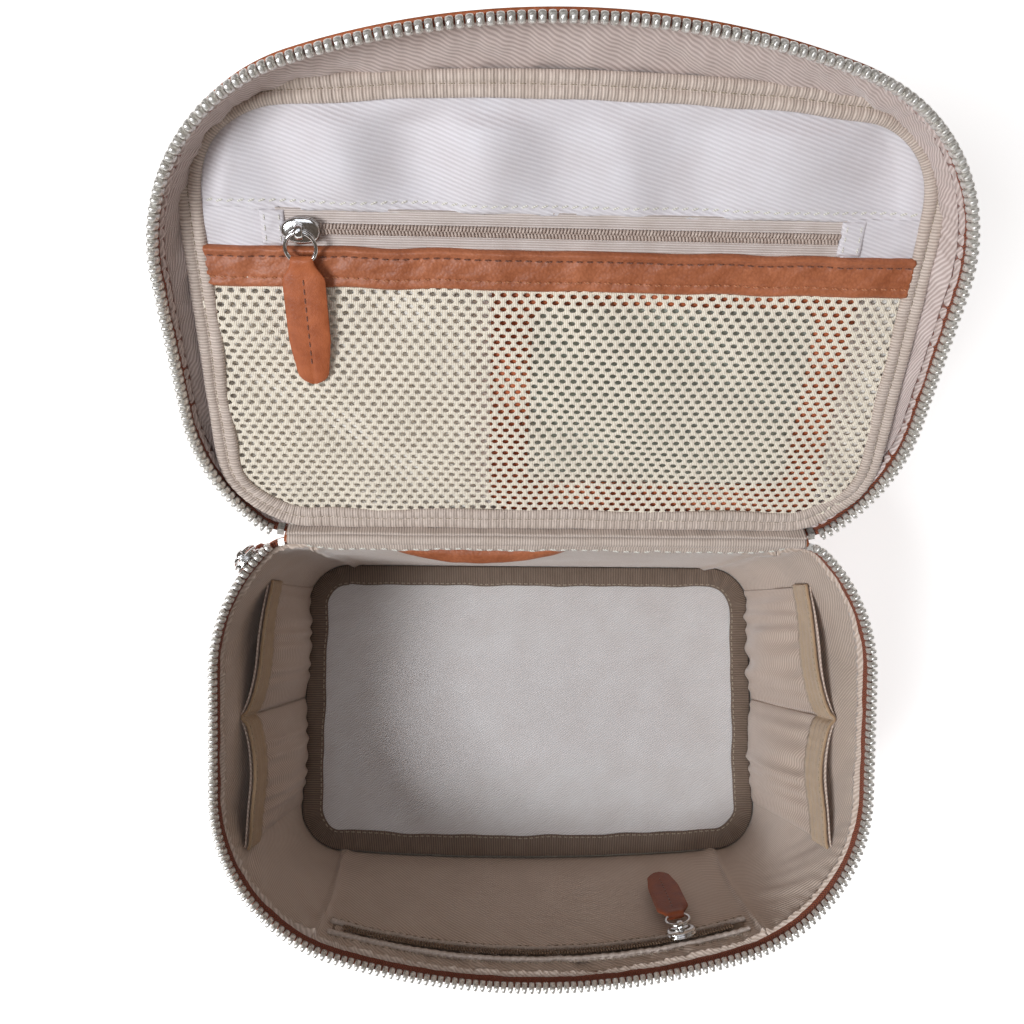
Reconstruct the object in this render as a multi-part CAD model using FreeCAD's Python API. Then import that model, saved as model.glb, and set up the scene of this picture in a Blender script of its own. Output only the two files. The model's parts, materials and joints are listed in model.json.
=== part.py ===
import FreeCAD, Part
import math
import os
from FreeCAD import Vector

# A zip-round leather jewellery case with a hinged lid, in millimetres, +Z up.
# The origin is the centre of the underside; +X is to the user's right and +Y to the back.
# The lid is modelled shut, above the rim plane, and then swung open about the hinge line.

# Hinge line and rim plane. The rim plane passes through the hinge line and falls to the front.
HINGE_Y = 69.0
HINGE_Z = 118.0
RIM_SLOPE = 9.0
LID_OPEN = 146.0

# The zip rim, where body and lid meet.
RIM = dict(width=234.0, depth=161.0, turn_in=12.0, side=62.0, corner=62.0, front=250.0)
# The flat panel of the base, and the flat panel of the lid, which is nearly its twin.
BASE = dict(width=212.0, depth=138.0, turn_in=22.0, side=22.0, corner=22.0, front=1200.0)
LID = dict(width=212.0, depth=141.0, turn_in=24.0, side=24.0, corner=28.0, front=900.0)
LID_BACK_HEIGHT = 11.0
LID_WEDGE = 6.3

# Layers of the walls and panels.
LEATHER = 1.4
BOARD = 1.0
LINING = 0.8
PANEL_BOARD = 2.0
WALL_INNER = LEATHER + BOARD + LINING
SKIN_GAP = 0.02
LAYER_GAP = 0.1
# A length beyond the whole case, for the blocks that cut its layers.
REACH = 200.0

# Main zip: tape from the wall seam up to the teeth, and one row of teeth on each side.
SEAM = 8.0
TAPE_IN = 1.0
TAPE_THICK = 0.8
TOOTH_PITCH = 2.5
TOOTH_LENGTH = 1.05
TOOTH_FOOT = 3.2
TOOTH_MESH = 0.5
TOOTH_SHOULDER = 0.7
TOOTH_HALF = 1.3
ZIP_END_GAP = 4.0
HINGE_GAP = 0.3

# Seams that divide the walls into a front, a back and two sides.
WALL_SEAM_X = 82.0

# Floor lining with its wide binding.
FLOOR_LINING = 1.2
FLOOR_INSET = 3.6
BINDING_WIDTH = 8.5
BINDING_THICK = 1.0

# Gathered side pockets, two to a side, under one elastic band.
POCKET_TOP = 84.0
POCKET_FLOOR = 5.8
POCKET_BACK_Y = 55.0
POCKET_DIVIDER_Y = 5.0
POCKET_FRONT_Y = -42.0
POCKET_BOW = 10.5
POCKET_TOP_BOW = 9.5
POCKET_THICK = 1.0
ELASTIC_WIDTH = 14.0
ELASTIC_THICK = 1.2
ELASTIC_GAP = 0.8

# Curved zip pocket in the front wall.
FRONT_ZIP_DROP = 18.0
FRONT_ZIP_HALF_WIDTH = 5.0
FRONT_ZIP_X = 78.0
FRONT_STAND_OFF = 0.4
FRONT_TAPE = 0.8
FRONT_COIL = 1.5
FRONT_COIL_HALF = 0.9
FRONT_END_ANGLE = 1.5
FRONT_SLIDER_X = 54.0
FRONT_BAG_TOP = 12.0
FRONT_BAG_DEPTH = 64.0
FRONT_SLOT = 2.0
FRONT_SLOT_DEPTH = 4.0

# Lid pocket: depths below the lid's outer face, and the positions of its strips.
LID_LINING_TOP = LEATHER + PANEL_BOARD
LID_LINING_FACE = LID_LINING_TOP + LINING
POCKET_FACE = 8.8
POCKET_SHEET = 0.8
LID_POCKET_INSET = 3.0
BAND_LOW = 85.5
BAND_HIGH = 97.0
BAND_THICK = 1.2
LID_ZIP_HIGH = 107.5
LID_ZIP_X = 83.0
LID_COIL = 1.4
LID_COIL_HALF = 1.0
LID_COIL_END = 3.0
TAB_LENGTH = 7.0
TAB_THICK = 0.8
TAB_INSET = 0.4
MESH_LAP = 4.0
ZIP_GAP = 0.05
LID_SLIDER_X = -75.5
LID_BINDING_WIDTH = 3.2
LID_BINDING_THICK = 1.0
BINDING_GAP = 0.3
LEAF_SHORT = 0.6
STRIP_SHORT = 1.4
STRIP_THICK = 1.0

# Mirror in its leather frame, behind the mesh.
FRAME_X = (-21.0, 92.0)
FRAME_S = (6.5, 93.0)
FRAME_BORDER = 13.5
FRAME_CORNER = 8.0
FRAME_THICK = 2.9
GLASS_THICK = 1.6
GLASS_LAP = 3.0

# Sliders, rings and leather pulls, alike on all three zips.
SLIDER_LENGTH = 11.0
SLIDER_WIDTH = 7.6
SLIDER_PLATE = 2.2
SLIDER_NOSE = 0.6
SLIDER_SHOULDER = 0.3
BAIL_LENGTH = 2.8
BAIL_WIDTH = 4.4
BAIL_HEIGHT = 3.2
BAIL_SUNK = 0.3
BAIL_HOLE = 2.1
BAIL_WALL = 0.8
BAIL_FLOOR = 0.5
# Height of the bail's hole above the face that the slider rides on.
BAIL_STAND = BAIL_HOLE / 2 + BAIL_FLOOR + SLIDER_PLATE
RING_RADIUS = 4.4
RING_WIRE = 0.7
RING_FIT = 0.05
PULL_LENGTH = 40.0
PULL_FOLD = 2.2
PULL_SHOULDER = 10.0
PULL_TOP_WIDTH = 7.0
PULL_WIDE = 13.5
PULL_TIP_WIDTH = 9.0
PULL_THICK = 2.2
PULL_TILT_LID = 4.5
PULL_TILT_FRONT = 2.5
MAIN_SLIDER_FROM_END = 15.0
MAIN_SLIDER_N = -4.2
STOP_LENGTH = 2.2
STOP_FROM_END = 1.6
STOP_HALF_THICK = 1.2
STOP_INWARD = 1.6
STOP_OUTWARD = 2.0

SLOPE = math.radians(RIM_SLOPE)
WEDGE = math.radians(LID_WEDGE)
X_AXIS = Vector(1, 0, 0)
HINGE = Vector(0, HINGE_Y, HINGE_Z)


def rim_point(x, s, n):
    """A point s from the hinge across the rim plane and n above that plane."""
    y = HINGE_Y - s * math.cos(SLOPE) - n * math.sin(SLOPE)
    z = HINGE_Z - s * math.sin(SLOPE) + n * math.cos(SLOPE)
    return Vector(x, y, z)


def base_point(x, s, z):
    """A point s in front of the base's back edge, at height z."""
    return Vector(x, HINGE_Y - s, z)


def panel_point(x, s, depth):
    """A point s along the shut lid's top and the given depth below its outer face."""
    along = s * math.cos(WEDGE) + depth * math.sin(WEDGE)
    above = LID_BACK_HEIGHT + s * math.sin(WEDGE) - depth * math.cos(WEDGE)
    return rim_point(x, along, above)


def outline(form, inset):
    """The ten edges of a D-shaped outline, each as its start, middle and end point."""
    half, front = form["width"] / 2, form["front"]
    turn, side, corner = form["turn_in"], form["side"], form["corner"]
    diagonal = math.sqrt(0.5)
    back_x = half - turn * diagonal - side * (1 - diagonal)
    side_s = turn * (1 - diagonal) + side * diagonal
    front_s = form["depth"] - front
    corner_s = front_s + math.sqrt((front - corner) ** 2 - (half - corner) ** 2)
    swing = math.degrees(math.atan2(corner_s - front_s, half - corner))

    def arc(centre_x, centre_s, radius, start, stop):
        points = []
        for angle in (start, (start + stop) / 2, stop):
            turned = math.radians(angle)
            points.append((centre_x + (radius - inset) * math.cos(turned),
                           centre_s + (radius - inset) * math.sin(turned)))
        return points

    right = [
        arc(back_x, turn, turn, -90, -45),
        arc(half - side, side_s, side, -45, 0),
        [(half - inset, side_s), (half - inset, (side_s + corner_s) / 2), (half - inset, corner_s)],
        arc(half - corner, corner_s, corner, 0, swing),
    ]
    left = [[(-x, s) for x, s in reversed(edge)] for edge in reversed(right)]
    back = [(-back_x, inset), (0, inset), (back_x, inset)]
    return [back] + right + [arc(0, front_s, front, swing, 180 - swing)] + left


def edges(form, inset, place, height):
    """The outline's edges in space; lines stay lines and the rest are arcs."""
    made = []
    for start, middle, end in outline(form, inset):
        a, b, c = (place(x, s, height) for x, s in (start, middle, end))
        straight = abs(start[0] - end[0]) < 1e-6 or abs(start[1] - end[1]) < 1e-6
        level = abs(start[1] - middle[1]) < 1e-6
        if straight and (level or abs(start[0] - middle[0]) < 1e-6):
            made.append(Part.LineSegment(a, c).toShape())
        else:
            made.append(Part.Arc(a, b, c).toShape())
    return made


def wire(form, inset, place, height):
    return Part.Wire(edges(form, inset, place, height))


def slab(form, inset, place, low, high):
    """A plate with the form's outline, between two heights of its own frame."""
    face = Part.Face(wire(form, inset, place, low))
    return face.extrude(place(0, 0, high) - place(0, 0, low))


def ring(form, outer, inner, place, low, high):
    """A flat band that follows the form's outline."""
    return slab(form, outer, place, low, high).cut(slab(form, inner, place, low, high))


def block(place, x_range, s_range, height_range):
    """A rectangular block in one of the local frames."""
    (x0, x1), (s0, s1), (low, high) = x_range, s_range, height_range
    corners = [place(x, s, low) for x, s in ((x0, s0), (x1, s0), (x1, s1), (x0, s1), (x0, s0))]
    return Part.Face(Part.makePolygon(corners)).extrude(place(0, 0, high) - place(0, 0, low))


def polygon(points):
    return Part.Face(Part.makePolygon(points + points[:1]))


def cone(lower, upper):
    """The solid between two outlines of ten edges each."""
    return Part.makeLoft([lower, upper], True, True)


def body_layer(outer, inner, bottom):
    """One layer of the body's walls, from a height above the table up to the zip seam."""
    solids = []
    for inset in (outer, inner):
        lower = wire(BASE, inset, base_point, 0)
        upper = wire(RIM, inset, rim_point, -SEAM)
        solids.append(cone(lower, upper))
    below = Part.makeBox(2 * REACH, 2 * REACH, REACH + bottom, Vector(-REACH, -REACH, -REACH))
    return solids[0].cut(solids[1]).cut(below)


def lid_layer(outer, inner, depth):
    """One layer of the lid's gusset, from the zip seam to a depth below the lid's outer face."""
    solids = []
    for inset in (outer, inner):
        lower = wire(RIM, inset, rim_point, SEAM)
        upper = wire(LID, inset, panel_point, 0)
        solids.append(cone(lower, upper))
    above = block(panel_point, (-REACH, REACH), (-REACH, 2 * REACH), (depth, -REACH))
    return solids[0].cut(solids[1]).cut(above)


def wall_panels(layer):
    """Divide a layer of the body's walls at its four seams."""
    seam, gap = WALL_SEAM_X, SKIN_GAP
    boxes = dict(
        front=((-seam + gap, seam - gap), (-REACH, 0)),
        back=((-seam + gap, seam - gap), (0, REACH)),
        left=((-REACH, -seam), (-REACH, REACH)),
        right=((seam, REACH), (-REACH, REACH)),
    )
    panels = {}
    for name, ((x0, x1), (y0, y1)) in boxes.items():
        box = Part.makeBox(x1 - x0, y1 - y0, REACH, Vector(x0, y0, 0))
        panels[name] = layer.common(box)
    return panels


def zip_path():
    """The zip's edges in rim coordinates, from the right hinge end round to the left one."""
    def flat(x, s, n):
        return Vector(x, s, n)
    return edges(RIM, TAPE_IN + TAPE_THICK / 2, flat, 0)[1:]


def path_frame(path, distance):
    """Where the zip is at a distance from its right end, and the way it runs there."""
    for edge in path:
        if distance <= edge.Length:
            parameter = edge.getParameterByLength(distance)
            return edge.valueAt(parameter), edge.tangentAt(parameter)
        distance -= edge.Length
    return path[-1].valueAt(path[-1].LastParameter), path[-1].tangentAt(path[-1].LastParameter)


def tooth(point, run, side):
    """One tooth, standing on the tape's edge; side is -1 on the body and 1 on the lid."""
    across = Vector(run.y, -run.x, 0)
    half, narrow = TOOTH_HALF, TOOTH_HALF / 2
    profile = ((-half, TOOTH_FOOT), (half, TOOTH_FOOT), (half, TOOTH_SHOULDER),
               (narrow, -TOOTH_MESH), (-narrow, -TOOTH_MESH), (-half, TOOTH_SHOULDER))

    def place(along, sideways, up):
        flat = point + run * along + across * sideways
        return rim_point(flat.x, flat.y, up * side)
    face = polygon([place(-TOOTH_LENGTH / 2, a, n) for a, n in profile])
    return face.extrude(place(TOOTH_LENGTH / 2, 0, 0) - place(-TOOTH_LENGTH / 2, 0, 0))


def teeth_row(side):
    """All the teeth of one side; the lid's row is half a pitch along from the body's."""
    path = zip_path()
    length = sum(edge.Length for edge in path)
    usable = length - 2 * ZIP_END_GAP
    count = int(usable / TOOTH_PITCH)
    first = ZIP_END_GAP + (usable - count * TOOTH_PITCH) / 2
    if side > 0:
        first += TOOTH_PITCH / 2
    row = []
    for index in range(count):
        point, run = path_frame(path, first + index * TOOTH_PITCH)
        row.append(tooth(point, run, side))
    return Part.makeCompound(row)


def zip_tape(side):
    """The strip of zip tape between the wall seam and the teeth, open at the hinge."""
    band = ring(RIM, TAPE_IN, TAPE_IN + TAPE_THICK, rim_point, side * TOOTH_FOOT, side * SEAM)
    back_half = outline(RIM, 0)[0][2][0]
    hinge_zone = block(rim_point, (-back_half, back_half), (-SEAM, SEAM), (-2 * SEAM, 2 * SEAM))
    return band.cut(hinge_zone)


def hinge_leaf(side, outer, inner, reach):
    """The straight strip of the hinge on one side of the hinge line."""
    back_half = outline(RIM, 0)[0][2][0]
    return block(rim_point, (-back_half, back_half), (outer, inner), (side * HINGE_GAP, side * reach))


def ring_shape():
    """The ring, hanging from the bail's hole at the origin and reaching along -Y."""
    return Part.makeTorus(RING_RADIUS, RING_WIRE, Vector(0, -RING_RADIUS, 0), Vector(0, 0, 1))


def pull_shape():
    """The leather pull, a tapered tab folded round the ring's far side."""
    top = -2 * RING_RADIUS + PULL_FOLD
    wide = top - PULL_SHOULDER
    tip = top - PULL_LENGTH
    half_top, half_wide, half_tip = PULL_TOP_WIDTH / 2, PULL_WIDE / 2, PULL_TIP_WIDTH / 2
    low = -PULL_THICK / 2
    points = [Vector(-half_top, top, low), Vector(half_top, top, low), Vector(half_wide, wide, low),
              Vector(half_tip, tip, low), Vector(-half_tip, tip, low), Vector(-half_wide, wide, low)]
    tab = polygon(points).extrude(Vector(0, 0, PULL_THICK))
    centre = Vector(0, -RING_RADIUS, 0)
    tunnel = Part.makeTorus(RING_RADIUS, RING_WIRE + RING_FIT, centre, Vector(0, 0, 1))
    return tab.cut(tunnel)


def slider_shape():
    """A zip slider whose bail's hole is at the origin and whose face lies BAIL_STAND below it."""
    plate_top = SLIDER_PLATE - BAIL_STAND
    half = SLIDER_WIDTH / 2
    nose = SLIDER_LENGTH / 2
    nose_half, shoulder = half * SLIDER_NOSE, nose * SLIDER_SHOULDER
    points = [Vector(-nose, -nose_half, plate_top), Vector(-shoulder, -half, plate_top),
              Vector(nose, -half, plate_top), Vector(nose, half, plate_top),
              Vector(-shoulder, half, plate_top), Vector(-nose, nose_half, plate_top)]
    plate = polygon(points).extrude(Vector(0, 0, -SLIDER_PLATE))
    bail = Part.makeBox(BAIL_LENGTH, BAIL_WIDTH, BAIL_HEIGHT,
                        Vector(-BAIL_LENGTH / 2, -BAIL_WIDTH / 2, plate_top - BAIL_SUNK))
    opening = BAIL_WIDTH - 2 * BAIL_WALL
    hole = Part.makeBox(2 * BAIL_LENGTH, opening, BAIL_HOLE,
                        Vector(-BAIL_LENGTH, -opening / 2, -BAIL_HOLE / 2))
    return plate.fuse(bail).cut(hole)


def seat(shape, origin, x_way, y_way):
    """Move a shape from its own frame to an origin with the given X and Y directions."""
    z_way = x_way.cross(y_way)
    turn = FreeCAD.Rotation(x_way, y_way, z_way, "ZXY")
    moved = shape.copy()
    moved.Placement = FreeCAD.Placement(origin, turn).multiply(moved.Placement)
    return moved


def tilted(shape, degrees):
    moved = shape.copy()
    moved.rotate(Vector(0, 0, 0), X_AXIS, degrees)
    return moved


def opened(shape):
    """Swing a piece of the shut lid back to the open position, which is the rest pose."""
    moved = shape.copy()
    moved.rotate(HINGE, X_AXIS, -LID_OPEN)
    return moved


def inner_face(inset):
    """The solid inside the body's walls at the given inset, up to the zip seam."""
    return cone(wire(BASE, inset, base_point, 0), wire(RIM, inset, rim_point, -SEAM))


def furthest(solid, start, end):
    """How far along a line from its start it leaves a solid."""
    inside = Part.LineSegment(start, end).toShape().common(solid)
    return max(vertex.Point.distanceToPoint(start) for vertex in inside.Vertexes)


def pocket_strip(face, y_range, z_range, bows, thick, gap):
    """A strip bowed away from the side wall between two seams, drawn for the right-hand side."""
    y0, y1 = y_range
    sections = []
    for z, bow in zip(z_range, bows):
        start, middle, end = (furthest(face, Vector(0, y, z), Vector(REACH, y, z)) - gap
                              for y in (y0, (y0 + y1) / 2, y1))
        y_middle = (y0 + y1) / 2
        outer = [Vector(start, y0, z), Vector(middle - bow, y_middle, z), Vector(end, y1, z)]
        inner = [point - Vector(thick, 0, 0) for point in outer]
        sections.append(Part.Wire([
            Part.Arc(*outer).toShape(),
            Part.LineSegment(outer[2], inner[2]).toShape(),
            Part.Arc(inner[2], inner[1], inner[0]).toShape(),
            Part.LineSegment(inner[0], outer[0]).toShape(),
        ]))
    return Part.makeLoft(sections, True, True)


def mirrored(shape):
    return shape.mirror(Vector(0, 0, 0), X_AXIS)


def front_zip_circle():
    """Centre and radius, in rim coordinates, of the curve that the front pocket's zip follows."""
    face = inner_face(WALL_INNER)
    reach = []
    for x in (0, FRONT_ZIP_X):
        start = rim_point(x, 0, -FRONT_ZIP_DROP)
        reach.append(furthest(face, start, rim_point(x, REACH, -FRONT_ZIP_DROP)))
    sagitta = reach[0] - reach[1]
    radius = (FRONT_ZIP_X ** 2 + sagitta ** 2) / (2 * sagitta)
    return reach[0] - radius, radius


def front_band(circle, near, far, half_height, half_angle):
    """A band round the front zip's circle, between two distances inside the wall's face."""
    centre, radius = circle
    n = -FRONT_ZIP_DROP

    def place(distance, height):
        return rim_point(0, centre + radius - distance, n + height)
    section = polygon([place(near, -half_height), place(far, -half_height),
                       place(far, half_height), place(near, half_height)])
    axis = rim_point(0, 0, 1) - rim_point(0, 0, 0)
    pivot = rim_point(0, centre, n)
    section.rotate(pivot, axis, -half_angle)
    return section.revolve(pivot, axis, 2 * half_angle)


def around_front(circle, shape, x):
    """Carry a shape from the middle of the front zip to the place on it at x."""
    centre, radius = circle
    moved = shape.copy()
    axis = rim_point(0, 0, 1) - rim_point(0, 0, 0)
    moved.rotate(rim_point(0, centre, -FRONT_ZIP_DROP), axis, math.degrees(math.asin(x / radius)))
    return moved


def rounded_plate(x_range, s_range, radius, low, high):
    """A plate with rounded corners, lying in the lid's panel frame."""
    plate = block(panel_point, x_range, s_range, (low, high))
    normal = panel_point(0, 0, high) - panel_point(0, 0, low)
    upright = [edge for edge in plate.Edges
               if abs(edge.tangentAt(edge.FirstParameter).dot(normal)) > 0.99 * normal.Length]
    return plate.makeFillet(radius, upright)


def band_across(inset, s_range, low, high):
    """The part of a plate under the lid's outline that lies between two distances from the hinge."""
    plate = slab(LID, inset, panel_point, low, high)
    reach = LID["width"]
    return plate.common(block(panel_point, (-reach, reach), s_range, (low, high)))


def zip_stop(path, distance, side):
    """A metal clamp round the end of the main zip's tape."""
    point, run = path_frame(path, distance)
    across = Vector(run.y, -run.x, 0)
    half, side_half = STOP_LENGTH / 2, STOP_HALF_THICK
    low, high = TOOTH_FOOT - STOP_INWARD, TOOTH_FOOT + STOP_OUTWARD

    def place(along, sideways, up):
        flat = point + run * along + across * sideways
        return rim_point(flat.x, flat.y, up * side)
    corners = [place(-half, -side_half, low), place(-half, side_half, low),
               place(-half, side_half, high), place(-half, -side_half, high)]
    return polygon(corners).extrude(place(half, 0, 0) - place(-half, 0, 0))


def zip_stops(side, tape):
    path = zip_path()
    length = sum(edge.Length for edge in path)
    clamps = [zip_stop(path, distance, side) for distance in (STOP_FROM_END, length - STOP_FROM_END)]
    return Part.makeCompound([clamp.cut(tape) for clamp in clamps])


def base_nodes():
    floor_top = LEATHER + PANEL_BOARD
    return dict(
        base_leather=slab(BASE, 0, base_point, 0, LEATHER),
        base_board=slab(BASE, LEATHER + 0.1, base_point, LEATHER, floor_top),
        floor_lining=slab(BASE, FLOOR_INSET, base_point, floor_top, floor_top + FLOOR_LINING),
        floor_binding=ring(BASE, FLOOR_INSET, FLOOR_INSET + BINDING_WIDTH, base_point,
                           floor_top + FLOOR_LINING, floor_top + FLOOR_LINING + BINDING_THICK),
    )


def wall_nodes(circle):
    floor_top = LEATHER + PANEL_BOARD
    layers = dict(
        leather=wall_panels(body_layer(0, LEATHER, LEATHER)),
        board=wall_panels(body_layer(LEATHER, LEATHER + BOARD, floor_top)),
        lining=wall_panels(body_layer(LEATHER + BOARD, WALL_INNER, floor_top)),
    )
    nodes = {}
    for layer, panels in layers.items():
        for place, panel in panels.items():
            nodes[f"{place}_wall_{layer}"] = panel
    # The front wall has the pocket's bag where the other walls have their board.
    bag_heights = (-FRONT_BAG_TOP - FRONT_BAG_DEPTH, -FRONT_BAG_TOP)
    bag_zone = block(rim_point, (-REACH, REACH), (0, REACH), bag_heights)
    nodes["front_pocket_bag"] = nodes.pop("front_wall_board").common(bag_zone)
    slot_angle = math.degrees(math.asin(FRONT_ZIP_X / circle[1])) - FRONT_END_ANGLE
    slot = front_band(circle, -FRONT_SLOT_DEPTH, FRONT_SLOT_DEPTH, FRONT_SLOT, slot_angle)
    nodes["front_wall_lining"] = nodes["front_wall_lining"].cut(slot)
    return nodes


def pocket_nodes():
    face = inner_face(WALL_INNER)
    heights = (POCKET_FLOOR, POCKET_TOP)
    bows = (POCKET_BOW, POCKET_TOP_BOW)
    nodes = {}
    bands = []
    compartments = dict(
        rear=(POCKET_DIVIDER_Y + LAYER_GAP, POCKET_BACK_Y),
        front=(POCKET_FRONT_Y, POCKET_DIVIDER_Y - LAYER_GAP),
    )
    for place, y_range in compartments.items():
        panel = pocket_strip(face, y_range, heights, bows, POCKET_THICK, LAYER_GAP)
        band = pocket_strip(face, y_range, (POCKET_TOP - ELASTIC_WIDTH, POCKET_TOP), bows,
                            ELASTIC_THICK, POCKET_THICK + ELASTIC_GAP)
        nodes[f"right_{place}_pocket"] = panel
        nodes[f"left_{place}_pocket"] = mirrored(panel)
        bands.append(band)
    elastic = Part.makeCompound(bands)
    nodes["right_pocket_elastic"] = elastic
    nodes["left_pocket_elastic"] = mirrored(elastic)
    return nodes


def front_zip_nodes(circle):
    centre, radius = circle
    half_angle = math.degrees(math.asin(FRONT_ZIP_X / radius))
    tape_face = FRONT_STAND_OFF + FRONT_TAPE
    coil_face = tape_face + FRONT_COIL
    inward = coil_face + LAYER_GAP + BAIL_STAND
    origin = rim_point(0, centre + radius - inward, -FRONT_ZIP_DROP)
    up = rim_point(0, 0, 1) - rim_point(0, 0, 0)
    pieces = dict(
        slider=slider_shape(),
        ring=tilted(ring_shape(), PULL_TILT_FRONT),
        pull=tilted(pull_shape(), PULL_TILT_FRONT),
    )
    nodes = dict(
        front_pocket_zip_tape=front_band(circle, FRONT_STAND_OFF, tape_face, FRONT_ZIP_HALF_WIDTH,
                                         half_angle),
        front_pocket_zip_coil=front_band(circle, tape_face, coil_face, FRONT_COIL_HALF,
                                         half_angle - FRONT_END_ANGLE),
    )
    for name, piece in pieces.items():
        placed = seat(piece, origin, -X_AXIS, up)
        nodes[f"front_pocket_{name}"] = around_front(circle, placed, FRONT_SLIDER_X)
    return nodes


def main_zip_nodes():
    path = zip_path()
    length = sum(edge.Length for edge in path)
    point, run = path_frame(path, length - MAIN_SLIDER_FROM_END)
    out_flat = Vector(run.y, -run.x, 0)
    stand = point + out_flat * (TAPE_IN + TAPE_THICK / 2 + LAYER_GAP + BAIL_STAND)
    origin = rim_point(stand.x, stand.y, MAIN_SLIDER_N)
    zero = rim_point(0, 0, 0)
    x_way = zero - rim_point(run.x, run.y, 0)
    y_way = rim_point(0, 0, 1) - zero
    outward = x_way.cross(y_way)
    level = Vector(outward.x, outward.y, 0).normalize()
    upright = Vector(0, 0, 1)
    tape = zip_tape(-1)
    lid_tape = zip_tape(1)
    return dict(
        main_zip_tape_body=tape,
        main_zip_teeth_body=teeth_row(-1),
        main_zip_stops_body=zip_stops(-1, tape),
        main_zip_slider=seat(slider_shape(), origin, x_way, y_way),
        main_zip_ring=seat(ring_shape(), origin, upright.cross(level), upright),
        main_zip_pull=seat(pull_shape(), origin, upright.cross(level), upright),
        hinge_leather_body=hinge_leaf(-1, 0, LEATHER, SEAM),
        main_zip_tape_lid=opened(lid_tape),
        main_zip_teeth_lid=opened(teeth_row(1)),
        main_zip_stops_lid=opened(zip_stops(1, lid_tape)),
        hinge_leather_lid=opened(hinge_leaf(1, 0, LEATHER, SEAM)),
    )


def lid_shell_nodes():
    inner = LEATHER + LINING
    gusset_lining = lid_layer(LEATHER, inner, LID_LINING_TOP)
    leaf_lining = hinge_leaf(1, LEATHER + SKIN_GAP, inner, SEAM - LEAF_SHORT)
    strip_near = inner + LAYER_GAP
    strip = hinge_leaf(1, strip_near, strip_near + STRIP_THICK, SEAM - STRIP_SHORT)
    binding_near = inner + BINDING_GAP
    binding_low = POCKET_FACE + LAYER_GAP
    return dict(
        lid_leather_panel=slab(LID, 0, panel_point, 0, LEATHER),
        lid_board=slab(LID, LEATHER + 0.1, panel_point, LEATHER, LID_LINING_TOP),
        lid_gusset_leather=lid_layer(0, LEATHER, LEATHER),
        lid_gusset_lining=gusset_lining.fuse(leaf_lining),
        lid_backing_lining=slab(LID, inner + 2 * LAYER_GAP, panel_point, LID_LINING_TOP, LID_LINING_FACE),
        lid_hinge_binding=strip,
        lid_panel_binding=ring(LID, binding_near, binding_near + LID_BINDING_WIDTH,
                               panel_point, binding_low, binding_low + LID_BINDING_THICK),
    )


def lid_pocket_nodes():
    sheet_low = POCKET_FACE - POCKET_SHEET
    inset = LID_POCKET_INSET
    zip_low = BAND_HIGH + ZIP_GAP
    mesh_high = BAND_HIGH - MESH_LAP
    depths = (0, 2 * POCKET_FACE)
    everywhere = (-REACH, REACH)
    low_zone = block(panel_point, everywhere, (0, mesh_high), depths)
    high_zone = block(panel_point, everywhere, (mesh_high, REACH), depths)
    skirt = ring(LID, inset, inset + POCKET_SHEET, panel_point, LID_LINING_FACE, sheet_low)
    mesh = band_across(inset, (0, mesh_high), sheet_low, POCKET_FACE).fuse(skirt.common(low_zone))
    zip_hole = block(panel_point, (-LID_ZIP_X, LID_ZIP_X), (mesh_high - 1, LID_ZIP_HIGH), depths)
    upper = band_across(inset, (mesh_high, REACH), sheet_low, POCKET_FACE).cut(zip_hole)
    tape = block(panel_point, (-LID_ZIP_X + SKIN_GAP, LID_ZIP_X - SKIN_GAP),
                 (mesh_high + ZIP_GAP, LID_ZIP_HIGH - ZIP_GAP), (sheet_low, POCKET_FACE))
    coil_middle = (zip_low + LID_ZIP_HIGH) / 2
    coil_x = LID_ZIP_X - LID_COIL_END
    coil = block(panel_point, (-coil_x, coil_x), (coil_middle - LID_COIL_HALF, coil_middle + LID_COIL_HALF),
                 (POCKET_FACE, POCKET_FACE + LID_COIL))
    tab_s = (zip_low + TAB_INSET, LID_ZIP_HIGH - TAB_INSET)
    tab_x = coil_x + 2 * LAYER_GAP
    tabs = [block(panel_point, (x, x + TAB_LENGTH), tab_s, (POCKET_FACE + SKIN_GAP, POCKET_FACE + TAB_THICK))
            for x in (tab_x, -tab_x - TAB_LENGTH)]
    return dict(
        mesh_pocket=mesh,
        lid_upper_lining=upper.fuse(skirt.common(high_zone)),
        lid_zip_tape=tape,
        lid_zip_coil=coil,
        lid_zip_end_tabs=Part.makeCompound(tabs),
        lid_leather_band=band_across(inset + LID_BINDING_WIDTH - TAB_INSET, (BAND_LOW, BAND_HIGH),
                                     POCKET_FACE + ZIP_GAP, POCKET_FACE + BAND_THICK),
    )


def mirror_nodes():
    low = LID_LINING_FACE + ZIP_GAP
    glass_top = low + GLASS_THICK
    (x0, x1), (s0, s1) = FRAME_X, FRAME_S
    border, lap = FRAME_BORDER, GLASS_LAP
    frame = rounded_plate(FRAME_X, FRAME_S, FRAME_CORNER, low, low + FRAME_THICK)
    window = rounded_plate((x0 + border, x1 - border), (s0 + border, s1 - border), FRAME_CORNER / 2,
                           low - 1, low + FRAME_THICK + 1)
    glass_x = (x0 + border - lap, x1 - border + lap)
    glass_s = (s0 + border - lap, s1 - border + lap)
    gap = LAYER_GAP
    rebate = block(panel_point, (glass_x[0] - gap, glass_x[1] + gap), (glass_s[0] - gap, glass_s[1] + gap),
                   (low - 1, glass_top + gap / 2))
    return dict(
        mirror_frame=frame.cut(window).cut(rebate),
        mirror_glass=block(panel_point, glass_x, glass_s, (low, glass_top)),
    )


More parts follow.
